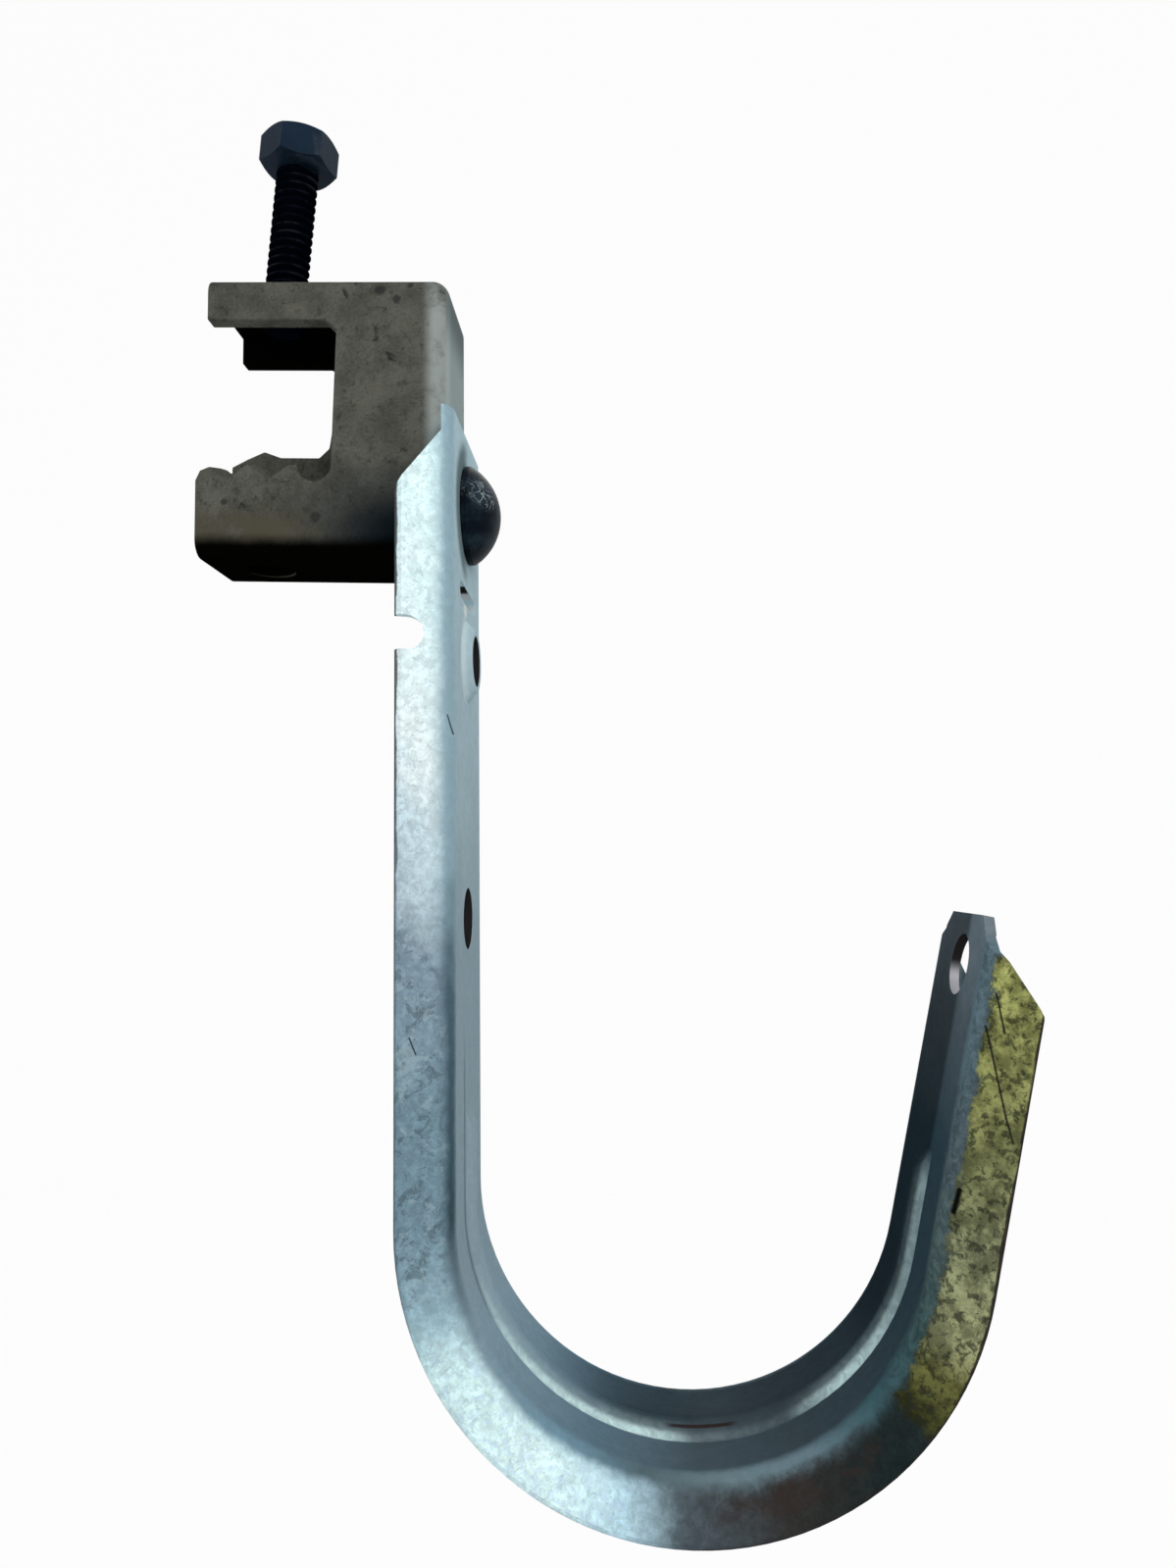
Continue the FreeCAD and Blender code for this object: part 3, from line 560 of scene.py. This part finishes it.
def baseTones(tree, at):  # the web, the bends and the flanges, each with its tones along the strip, which carry painted highlights and painted shade
    wander = wavered(tree, at.along, at.patches, zinc["toneWander"])
    web = stepped(tree, wander, zinc["webTones"])
    look = zinc["farHalfShade"]
    lighter = between(tree, at.along, *look["lighterAlong"])
    dimming = calc(tree, "MULTIPLY_ADD", lighter, look["lighter"], look["dimming"])
    shaded = placed(tree, at, look, "acrossY", "along")
    web = dimmed(tree, web, calc(tree, "MULTIPLY_ADD", shaded, dimming, 1.0))
    look = zinc["tipBend"]
    onTip = product(tree, at.near, placed(tree, at, look, "along"), at.patches)
    bendSide = calc(tree, "MULTIPLY_ADD", onTip, look["shift"], at.side)
    bend = stepped(tree, wander, zinc["bendTones"])
    tone = mixed(tree, fade(tree, bendSide, *zinc["bendFrom"]), web, bend)
    return mixed(tree, at.onFlange, tone, stepped(tree, wander, zinc["flangeTones"]))


def crystals(tree, at, coat):  # crystals, and the flecks and stains over them
    look = zinc["crystals"]
    spread = put(tree, "TexNoise", {"Vector": at.where, "Scale": look["jumbleScale"]}).outputs[1]
    jumbled = put(tree, "Mix", {0: look["jumble"], 4: at.where, 5: spread}, data_type="VECTOR").outputs[1]
    cells = put(tree, "TexVoronoi", {"Vector": jumbled, "Scale": look["scale"]}).outputs["Color"]
    cellTone = put(tree, "SeparateColor", {0: cells}).outputs[0]
    forCells, forFine, forBlotches = look["weights"]
    mottle = calc(tree, "MULTIPLY_ADD", at.fine, forFine, calc(tree, "MULTIPLY", at.blotches, forBlotches))
    mottle = calc(tree, "MULTIPLY_ADD", cellTone, forCells, mottle)
    onTip = product(tree, at.near, placed(tree, at, look["tipBend"], "side", "along"))
    contrast = calc(tree, "MULTIPLY_ADD", onTip, look["tipBend"]["contrast"], look["contrast"])
    contrast = calc(tree, "MULTIPLY_ADD", at.onFlange, look["flangeContrast"], contrast)
    swing = calc(tree, "SUBTRACT", fade(tree, mottle, *look["span"]), 0.5)
    coat = dimmed(tree, coat, calc(tree, "MULTIPLY_ADD", swing, contrast, 1.0))
    for pattern, span, along, strength, colour in zinc["layers"]:
        spots = fade(tree, noise(tree, at.where, *pattern), *span)
        coat = laid(tree, coat, colour, strength, spots, at.onFlange, between(tree, at.along, *along))
    return coat


def beadWear(tree, at, coat):  # a painted highlight at its near foot, painted shade in the crease before it, and a dark slit on top
    look = zinc["bead"]
    onTipSide = placed(tree, at, look["tipSide"], "along")
    footY = calc(tree, "MULTIPLY_ADD", onTipSide, look["tipSide"]["shift"], at.acrossY)
    (narrowSpan, narrowShare), (wideSpan, wideShare) = look["narrow"], look["wide"]
    wide = calc(tree, "MULTIPLY", fade(tree, footY, *wideSpan), wideShare)
    fallOff = calc(tree, "MULTIPLY_ADD", fade(tree, footY, *narrowSpan), narrowShare, wide)
    foot = product(tree, fade(tree, footY, *look["starts"]), fallOff)
    span, share, rest = look["uneven"]
    uneven = calc(tree, "MULTIPLY_ADD", fade(tree, at.blotches, *span), share, rest)
    coat = laid(tree, coat, look["colour"], 1.0, foot, levels(tree, at.along, look["shares"]), uneven)
    # painted shade in the crease before the bead's foot
    look = zinc["beadDirt"]
    creaseShade = placed(tree, at, look, "acrossY", "along")
    coat = dimmed(tree, coat, calc(tree, "MULTIPLY_ADD", creaseShade, look["dimming"], 1.0))
    look = zinc["beadSlit"]
    return laid(tree, coat, look["colour"], look["strength"], placed(tree, at, look, "acrossY", "along"))


def cradleRust(tree, at, coat):  # under the cradle, toward the tip
    look = zinc["rust"]
    spots = fade(tree, at.rustSpots, *look["span"])
    onBand = placed(tree, at, look, "along", "side")
    return laid(tree, coat, look["colour"], look["strength"], onBand, at.near, spots)


def tipPaint(tree, at, coat):
    look = zinc["paint"]
    side = wavered(tree, at.sideways, at.paintSide, look["sideWander"])
    end = calc(tree, "MULTIPLY_ADD", at.paintEnd, look["endWander"], at.along)
    starts = fade(tree, end, *look["starts"])
    ends = fade(tree, end, *look["ends"])
    gaps = fade(tree, at.paintGaps, *look["gaps"])
    painted = product(tree, at.near, fade(tree, side, *look["side"]), starts, ends, gaps)
    span, share, rest = look["shade"]
    shade = calc(tree, "MULTIPLY_ADD", fade(tree, at.paintShade, *span), share, rest)
    tone = dimmed(tree, stepped(tree, at.along, look["tones"]), shade)
    span, strength = look["wear"]
    worn = fade(tree, at.paintWear, *span)
    tone = laid(tree, tone, look["wornColour"], strength, worn)
    return mixed(tree, painted, coat, tone), painted, worn


def edgeMarks(tree, at, coat):  # the dark cut edges of the flanges, scratches and a nick
    look = zinc["cutEdge"]
    depth = wavered(tree, at.depth, at.edgeDepth, look["wander"])
    onTipSide = placed(tree, at, look["tipSide"], "along")
    depth = calc(tree, "MULTIPLY_ADD", onTipSide, look["tipSide"]["shift"], depth)
    shares = levels(tree, at.along, look["shares"])
    coat = laid(tree, coat, look["colour"], 1.0, fade(tree, depth, *look["depth"]), shares)
    look = zinc["scratches"]
    onSide = placed(tree, at, look, "sideways")
    for line in look["lines"]:
        mark = nearLine(tree, at.acrossX, at.height, *line)
        coat = laid(tree, coat, look["colour"], look["strength"], mark, at.near, onSide)
    look = zinc["nick"]
    mark = nearLine(tree, at.acrossX, at.height, *look["line"])
    return laid(tree, coat, look["colour"], 1.0, mark, at.near, placed(tree, at, look, "sideways"))


def webShadeAndHighlights(tree, at, coat):  # painted shade round the rivet's head, and painted highlights on the boss's near rim and below the pry slot
    for look in (zinc["rivetRing"], zinc["bossRimHighlight"]):
        at.reach = apart(tree, calc(tree, "SUBTRACT", at.height, look["middleZ"]), at.acrossY)
        ring = placed(tree, at, look, "reach", "acrossY")
        coat = laid(tree, coat, look["colour"], look["strength"], ring, at.onLeg)
    # painted highlight below the pry slot
    look = zinc["slotHighlight"]
    across = calc(tree, "MULTIPLY", calc(tree, "SUBTRACT", at.acrossY, look["middleY"]), look["squash"])
    reach = apart(tree, calc(tree, "SUBTRACT", at.height, look["middleZ"]), across)
    reach = wavered(tree, reach, at.fine, look["wander"])
    return laid(tree, coat, look["colour"], look["strength"], fade(tree, reach, *look["reach"]), at.onLeg)


def holeWallLightAndShade(tree, at, coat):  # painted shade on the walls of the holes through the web, with painted light on the far end of the pry slot and on the low wall of the tip hole
    look = zinc["slotWallLit"]
    wall = mixed(tree, placed(tree, at, look, "acrossY", "height"), zinc["shadedWall"], look["colour"])
    look = zinc["tipWallLit"]
    wall = mixed(tree, placed(tree, at, look, "tipRise"), wall, look["colour"])
    deep = fade(tree, at.depth, *zinc["holeEnd"])
    found = 0.0
    for measure, height, half, tall, rim in zinc["holes"]:
        offY = calc(tree, "DIVIDE", at.acrossY, half)
        offZ = calc(tree, "DIVIDE", calc(tree, "SUBTRACT", getattr(at, measure), height), tall)
        inside = calc(tree, "LESS_THAN", apart(tree, offY, offZ), zinc["holeReach"])
        onWall = product(tree, inside, fade(tree, at.depth, rim - zinc["holeRim"], rim), deep)
        found = calc(tree, "MAXIMUM", found, onWall)
    return mixed(tree, found, coat, wall)


def zincFinish():
    made, tree, where = newFinish("galvanisedSheet")
    at = sheetPlaces(tree, where)
    coat = crystals(tree, at, baseTones(tree, at))
    coat = cradleRust(tree, at, beadWear(tree, at, coat))
    coat, painted, worn = tipPaint(tree, at, coat)
    coat = webShadeAndHighlights(tree, at, edgeMarks(tree, at, coat))
    coat = holeWallLightAndShade(tree, at, coat)
    least, byNoise, underPaint = zinc["rough"]
    rough = calc(tree, "MULTIPLY_ADD", painted, underPaint, least)
    rough = calc(tree, "MULTIPLY_ADD", at.broad, byNoise, rough)
    ofFine, ofPaint, ofWear = zinc["heights"]
    height = calc(tree, "MULTIPLY_ADD", painted, ofPaint, at.broad)
    height = calc(tree, "MULTIPLY_ADD", at.fine, ofFine, height)
    height = calc(tree, "MULTIPLY_ADD", calc(tree, "MULTIPLY", painted, worn), ofWear, height)
    dress(tree, zinc, coat, rough, height)
    return made


# the clamp's dull, dirty steel

clampLook = {
    "metal": 0.02,
    "specular": 0.0,
    "rough": (0.40, 0.3),  # at least, more by the broad noise
    "bump": (0.00016, 0.6),
    "heights": (0.5, -1.2),  # of the fine noise and the pits
    "armLean": 0.035,  # rise of the leaning arms over their length
    "noises": {
        # name: scale, detail, roughness, distortion
        "broad": (160.0, 7.0, 0.7),
        "fine": (900.0, 6.0, 0.7),
        "grain": (2600.0, 3.0, 0.6),
        "pits": (380.0, 3.0, 0.5, 0.3),
        "rust": (420.0, 6.0, 0.7),
    },
    "body": (0.070, 0.071, 0.060),
    "pale": (0.112, 0.113, 0.096),
    "paleSpan": (0.36, 0.64),
    "grain": (1.0, 0.56),  # share, the rest
    "pit": (0.016, 0.016, 0.015),
    "finePits": ((0.54, 0.70), 0.55),  # span, strength
    "pits": ((0.66, 0.74), 0.8),
    "smudgeColour": (0.012, 0.013, 0.018),
    "smudgeStrength": 0.65,
    "smudgeWander": 0.0012,
    "smudgeSoft": (1.3, 0.5),  # its outer and inner reach, in half widths
    "smudges": (  # x, z, half width: dark spots on the near plate
        (0.0181, 0.0178, 0.0009),
        (0.0205, 0.0163, 0.0006),
        (0.0225, 0.0185, 0.0005),
        (0.0102, 0.0088, 0.0006),
        (-0.0040, -0.0125, 0.0005),
        (0.0090, -0.0150, 0.0008),
    ),
    "bend": {  # painted highlight on the near bend at the back
        "acrossX": (0.0260, 0.0274, 0.0020),
        "acrossY": (-0.0052, -0.0066),
        "span": (0.25, 0.55),
        "colour": (0.36, 0.40, 0.39),
        "strength": 0.85,
    },
    # painted light: the back plate is lighter than the front plate
    "back": {
        "acrossX": (0.0272, 0.0276),
        "height": (0.0160, 0.0080),  # the low part is paler, a painted highlight
        "colour": (0.16, 0.20, 0.205),
        "lowHighlight": (0.36, 0.44, 0.445),
        "strength": 0.85,
    },
    # painted shadow: the lower jaw darkens towards the hook and downwards
    "bluishShadow": {"acrossX": (0.001, 0.0200), "level": (-0.004, -0.0160), "colour": (0.008, 0.013, 0.017)},
    "rust": {
        "level": (-0.0180, -0.0158, 0.0030),
        "acrossX": (0.013, 0.002),
        "span": (0.30, 0.55),
        "colour": (0.084, 0.076, 0.054),
    },
    # painted shade, near black, on the underside and on the far plate seen through the jaw
    "shadeBlack": (0.0015, 0.0015, 0.0012),
    "under": {"wander": 0.001, "level": (-0.0162, -0.0184)},
    # painted light on the far wall of the rod hole, lighter than the shaded underside
    "rodHoleLitWall": {
        "reach": (0.00365, 0.0035),
        "height": (-0.0200, -0.0206),
        "acrossY": (0.0002, 0.0016),
        "colour": (0.085, 0.074, 0.056),
    },
    "inside": {  # the far plate is in deep shade, as seen through the jaw
        "acrossY": (-0.0060, -0.0056),
        "acrossX": (0.0275, 0.0252),
        "from": (0.0060, 0.0115),
        "to": (0.0198, 0.0192),
    },
}


def steelTones(tree, at):  # grain, pits and smudges
    tone = mixed(tree, fade(tree, at.broad, *clampLook["paleSpan"]), clampLook["body"], clampLook["pale"])
    share, rest = clampLook["grain"]
    tone = dimmed(tree, tone, calc(tree, "MULTIPLY_ADD", at.grain, share, rest))
    span, strength = clampLook["finePits"]
    tone = laid(tree, tone, clampLook["pit"], strength, fade(tree, at.fine, *span))
    tone = laid(tree, tone, clampLook["pit"], clampLook["pits"][1], at.pitted)
    outer, inner = clampLook["smudgeSoft"]
    for spotX, highlightZ, half in clampLook["smudges"]:
        offX = calc(tree, "SUBTRACT", at.acrossX, spotX)
        offZ = calc(tree, "SUBTRACT", at.height, highlightZ)
        off = wavered(tree, apart(tree, offX, offZ), at.fine, clampLook["smudgeWander"])
        spot = fade(tree, off, half * outer, half * inner)
        tone = laid(tree, tone, clampLook["smudgeColour"], clampLook["smudgeStrength"], spot)
    return tone


def backAndBend(tree, at, tone):
    # painted highlight on the near bend
    look = clampLook["bend"]
    onBendHighlight = placed(tree, at, look, "acrossX", "acrossY")
    tone = laid(tree, tone, look["colour"], look["strength"], onBendHighlight, fade(tree, at.broad, *look["span"]))
    look = clampLook["back"]
    backLitTone = mixed(tree, placed(tree, at, look, "height"), look["colour"], look["lowHighlight"])
    return laid(tree, tone, backLitTone, look["strength"], placed(tree, at, look, "acrossX"))


def shadesAndRust(tree, at, tone):
    look = clampLook["bluishShadow"]
    tone = mixed(tree, placed(tree, at, look, "acrossX", "level"), tone, look["colour"])
    look = clampLook["rust"]
    rusty = product(tree, placed(tree, at, look, "level", "acrossX"), fade(tree, at.rust, *look["span"]))
    tone = mixed(tree, rusty, tone, look["colour"])
    # painted shade on the underside
    look = clampLook["under"]
    under = calc(tree, "MULTIPLY_ADD", at.broad, look["wander"], at.level)
    tone = mixed(tree, fade(tree, under, *look["level"]), tone, clampLook["shadeBlack"])
    look = clampLook["rodHoleLitWall"]
    at.reach = apart(tree, at.acrossX, at.acrossY)
    tone = mixed(tree, placed(tree, at, look, "reach", "height", "acrossY"), tone, look["colour"])
    look = clampLook["inside"]
    inside = placed(tree, at, look, "acrossY", "acrossX")
    shaded = product(tree, inside, fade(tree, at.level, *look["from"]), fade(tree, at.level, *look["to"]))
    return mixed(tree, shaded, tone, clampLook["shadeBlack"])


def clampFinish():
    made, tree, where = newFinish("clampSteel")
    at = SimpleNamespace(**noises(tree, where, clampLook["noises"]))
    at.acrossX, at.acrossY, at.height = put(tree, "SeparateXYZ", {0: where}).outputs
    at.level = calc(tree, "MULTIPLY_ADD", at.acrossX, clampLook["armLean"], at.height)
    at.pitted = fade(tree, at.pits, *clampLook["pits"][0])
    tone = shadesAndRust(tree, at, backAndBend(tree, at, steelTones(tree, at)))
    least, byNoise = clampLook["rough"]
    ofFine, ofPits = clampLook["heights"]
    height = calc(tree, "MULTIPLY_ADD", at.fine, ofFine, at.broad)
    height = calc(tree, "MULTIPLY_ADD", at.pitted, ofPits, height)
    dress(tree, clampLook, tone, calc(tree, "MULTIPLY_ADD", at.broad, byNoise, least), height)
    return made


# the rivet's blackened head

rivetLook = {
    "metal": 0.12,
    "specular": 0.04,
    "rough": (0.24, 0.3),  # at least, more by the fine noise
    "bump": (0.0001, 0.6),
    "heights": (0.4, -1.0),  # of the fine noise and the scuffs
    "noises": {
        # name: scale, detail, roughness, distortion
        "fine": (1300.0, 7.0, 0.75),
        "broad": (330.0, 5.0, 0.6),
        "curls": (380.0, 2.0, 0.5, 1.8),
    },
    "body": (0.0045, 0.008, 0.0125),
    "sheen": (0.015, 0.027, 0.038),
    "sheenSpan": (0.4, 0.7),
    "highlightY": -0.0046,  # the painted highlight, with scuffs in it
    "highlightZ": -0.0110,
    "highlightReach": (0.0029, 0.0008),
    "highlightColour": (0.050, 0.075, 0.092),
    "highlightStrength": 0.35,
    "scuff": (0.42, 0.50, 0.54),
    "scuffSpan": (0.030, 0.010),
    "scuffStrength": 0.6,
}


def rivetFinish():
    made, tree, where = newFinish("rivetBlack")
    acrossY, height = put(tree, "SeparateXYZ", {0: where}).outputs[1:]
    at = SimpleNamespace(**noises(tree, where, rivetLook["noises"]))
    # a painted highlight on the head, and scuff lines inside it
    offY = calc(tree, "SUBTRACT", acrossY, rivetLook["highlightY"])
    offZ = calc(tree, "SUBTRACT", height, rivetLook["highlightZ"])
    spot = fade(tree, apart(tree, offY, offZ), *rivetLook["highlightReach"])
    lines = calc(tree, "ABSOLUTE", calc(tree, "SUBTRACT", at.curls, 0.5))
    scuffed = calc(tree, "MULTIPLY", spot, fade(tree, lines, *rivetLook["scuffSpan"]))
    tone = mixed(tree, fade(tree, at.broad, *rivetLook["sheenSpan"]), rivetLook["body"], rivetLook["sheen"])
    tone = laid(tree, tone, rivetLook["highlightColour"], rivetLook["highlightStrength"], spot)
    tone = laid(tree, tone, rivetLook["scuff"], rivetLook["scuffStrength"], scuffed)
    least, byNoise = rivetLook["rough"]
    ofFine, ofScuffs = rivetLook["heights"]
    height = calc(tree, "MULTIPLY_ADD", at.fine, ofFine, at.broad)
    height = calc(tree, "MULTIPLY_ADD", scuffed, ofScuffs, height)
    dress(tree, rivetLook, tone, calc(tree, "MULTIPLY_ADD", at.fine, byNoise, least), height)
    return made


# pieces

def linked(name, mesh, material, body, slotName, *nodes):
    made = newObject(name, mesh)
    made.data.materials.clear()
    made.data.materials.append(material)
    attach(made, body)
    if nodes:
        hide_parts(*nodes)
    return made


def mergedCopy(node, close=1e-6, flatBelow=0.3):  # the node's solid as one joined mesh
    shape = bmesh.new()
    shape.from_mesh(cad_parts[node].data)
    bmesh.ops.remove_doubles(shape, verts=shape.verts, dist=close)
    bmesh.ops.dissolve_limit(
        shape,
        angle_limit=math.radians(flatBelow),
        verts=shape.verts,
        edges=shape.edges,
        use_dissolve_boundaries=False,
    )
    return shape


def toMesh(shape, name, smoothBelow=30.0):
    bmesh.ops.recalc_face_normals(shape, faces=shape.faces)
    for face in shape.faces:
        face.smooth = True
    for edge in shape.edges:
        edge.smooth = len(edge.link_faces) == 2 and edge.calc_face_angle(0.0) < math.radians(smoothBelow)
    mesh = bpy.data.meshes.new(name)
    shape.to_mesh(mesh)
    shape.free()
    return mesh


def softenEdges(piece, width, segments=2, above=35.0):
    rounding = piece.modifiers.new("roundedEdges", "BEVEL")
    rounding.width = width
    rounding.segments = segments
    rounding.limit_method = "ANGLE"
    rounding.angle_limit = math.radians(above)
    evening = piece.modifiers.new("evenShading", "WEIGHTED_NORMAL")
    evening.keep_sharp = True


def cutFlat(shape, height, way, close=1e-6):  # cuts off what lies past a height and closes the cut
    bmesh.ops.bisect_plane(
        shape,
        geom=shape.verts[:] + shape.edges[:] + shape.faces[:],
        plane_co=(0, 0, height),
        plane_no=(0, 0, way),
        clear_outer=True,
    )
    rim = [edge for edge in shape.edges if edge.is_boundary and abs(edge.verts[0].co.z - height) < close]
    bmesh.ops.edgeloop_fill(shape, edges=rim)


# the set screw: a head from the solid, and a spun thread

screw = {
    "lean": 4.9,  # degrees
    "headBase": 0.0414752,  # along the screw's own axis, from the frame's origin
    "length": 0.0254,
    "overlap": 0.0002,  # how far the thread reaches into the head
    "radius": 0.00312,
    "pitch": 0.00127,
    "depth": 0.00070,  # of the thread
    "point": 0.0008,  # how far its foot tapers
    "steps": 36,  # round one turn
    "seam": 2e-6,  # how close the turns' points are merged
    "rootEnd": 0.14,  # the thread's outline over one pitch
    "crestFrom": 0.48,
    "crestTo": 0.64,
    "smoothBelow": 28.0,  # degrees
    "rounding": 0.00018,
}

screwLook = {
    "headShine": 0.05,
    "threadShine": 0.0,
    "rough": (0.26, 0.2),  # at least, more by the broad noise
    "bump": (0.00006, 0.5),
    "noises": {
        # name: scale, detail, roughness
        "fine": (900.0, 6.0, 0.7),
        "broad": (260.0, 5.0, 0.6),
    },
    "thread": (0.0012, 0.0024, 0.0056),
    "head": (0.0112, 0.0220, 0.039),
    "headFrom": (0.0405, 0.0411),
    "mottle": (0.8, 0.6),  # share of the noise, the rest
    # painted highlights: the worn colour lightens crests and edges above the top plate
    "worn": (0.060, 0.072, 0.085),
    "crestGlintEdge": (0.53, 0.60),
    "crestGlintSpan": (0.40, 0.62),
    "crestGlintAbove": (0.022, 0.025),
    "crestGlintStrength": 0.6,
}


def screwFinish(name, shine):
    made, tree, where = newFinish(name)
    height = put(tree, "SeparateXYZ", {0: where}).outputs[2]
    at = SimpleNamespace(**noises(tree, where, screwLook["noises"]))
    tone = mixed(tree, fade(tree, height, *screwLook["headFrom"]), screwLook["thread"], screwLook["head"])
    share, rest = screwLook["mottle"]
    tone = dimmed(tree, tone, calc(tree, "MULTIPLY_ADD", at.broad, share, rest))
    # painted highlights on crests and edges, in broad patches above the top plate
    edge = fade(tree, put(tree, "NewGeometry").outputs["Pointiness"], *screwLook["crestGlintEdge"])
    patches = fade(tree, at.broad, *screwLook["crestGlintSpan"])
    above = fade(tree, height, *screwLook["crestGlintAbove"])
    tone = laid(tree, tone, screwLook["worn"], screwLook["crestGlintStrength"], edge, patches, above)
    least, byNoise = screwLook["rough"]
    look = {"metal": shine, "specular": shine / 2, "bump": screwLook["bump"]}
    dress(tree, look, tone, calc(tree, "MULTIPLY_ADD", at.broad, byNoise, least), at.fine)
    return made


def threadedShank():  # one pitch of the thread's outline, spun up the axis
    shape = bmesh.new()
    crest = screw["radius"]
    root = crest - screw["depth"]
    pitch = screw["pitch"]
    top = screw["headBase"] + screw["overlap"]
    foot = screw["headBase"] - screw["length"]
    turns = math.ceil((top - foot) / pitch) + 2
    outline = (
        (root, 0.0),
        (root, screw["rootEnd"]),
        (crest, screw["crestFrom"]),
        (crest, screw["crestTo"]),
        (root, 1.0),
    )
    verts = [shape.verts.new((out, 0.0, foot - pitch + share * pitch)) for out, share in outline]
    edges = [shape.edges.new(pair) for pair in zip(verts, verts[1:])]
    bmesh.ops.spin(
        shape,
        geom=verts + edges,
        cent=(0, 0, 0),
        axis=(0, 0, 1),
        dvec=(0, 0, pitch / screw["steps"]),
        angle=2 * math.pi * turns,
        steps=screw["steps"] * turns,
        use_merge=False,
    )
    bmesh.ops.remove_doubles(shape, verts=shape.verts, dist=screw["seam"])
    cutFlat(shape, foot, -1)
    cutFlat(shape, top, 1)
    for vert in shape.verts:  # the point is tapered
        limit = crest - screw["point"] + (vert.co.z - foot)
        out = math.hypot(vert.co.x, vert.co.y)
        if out > limit:
            vert.co.x *= limit / out
            vert.co.y *= limit / out
    return shape


def hexagonHead():  # the solid's own head, stood upright and cut off below
    shape = mergedCopy("set_screw")
    upright = Matrix.Rotation(math.radians(-screw["lean"]), 4, "Y")
    bmesh.ops.transform(shape, matrix=upright, verts=shape.verts)
    cutFlat(shape, screw["headBase"] + 1e-6, -1)
    return shape


def buildScrew():
    lean = Matrix.Rotation(math.radians(screw["lean"]), 4, "Y")
    shank = threadedShank()
    head = hexagonHead()
    for shape in (shank, head):
        bmesh.ops.transform(shape, matrix=lean, verts=shape.verts)
    mesh = toMesh(head, "screwHead")
    finish = screwFinish("screwBlack", screwLook["headShine"])
    piece = linked("screwHead", mesh, finish, "screw", "screw_steel", "set_screw")
    softenEdges(piece, screw["rounding"])
    mesh = toMesh(shank, "screwThread", screw["smoothBelow"])
    finish = screwFinish("threadBlack", screwLook["threadShine"])
    linked("screwThread", mesh, finish, "screw", "screw_steel")
    print("screw built")


fixedPieces = (
    # name, the CAD node it stands for, finish, slot, rounding of its edges
    ("hookSheet", "j_hook", zincFinish, "galvanised_sheet", 0.00015),
    ("clampBody", "beam_clamp", clampFinish, "clamp_steel", 0.00018),
    ("rivetHead", "rivet", rivetFinish, "rivet_steel", 0.0002),
)

placeCamera()
placeLamps()
buildSurround()
print("camera, lamps and ground placed")

for name, node, finish, slotName, rounding in fixedPieces:
    piece = linked(name, toMesh(mergedCopy(node), name), finish(), "hook_and_clamp", slotName, node)
    softenEdges(piece, rounding)
    print(name, "dressed")
buildScrew()

bpy.context.scene.view_settings.view_transform = "Standard"
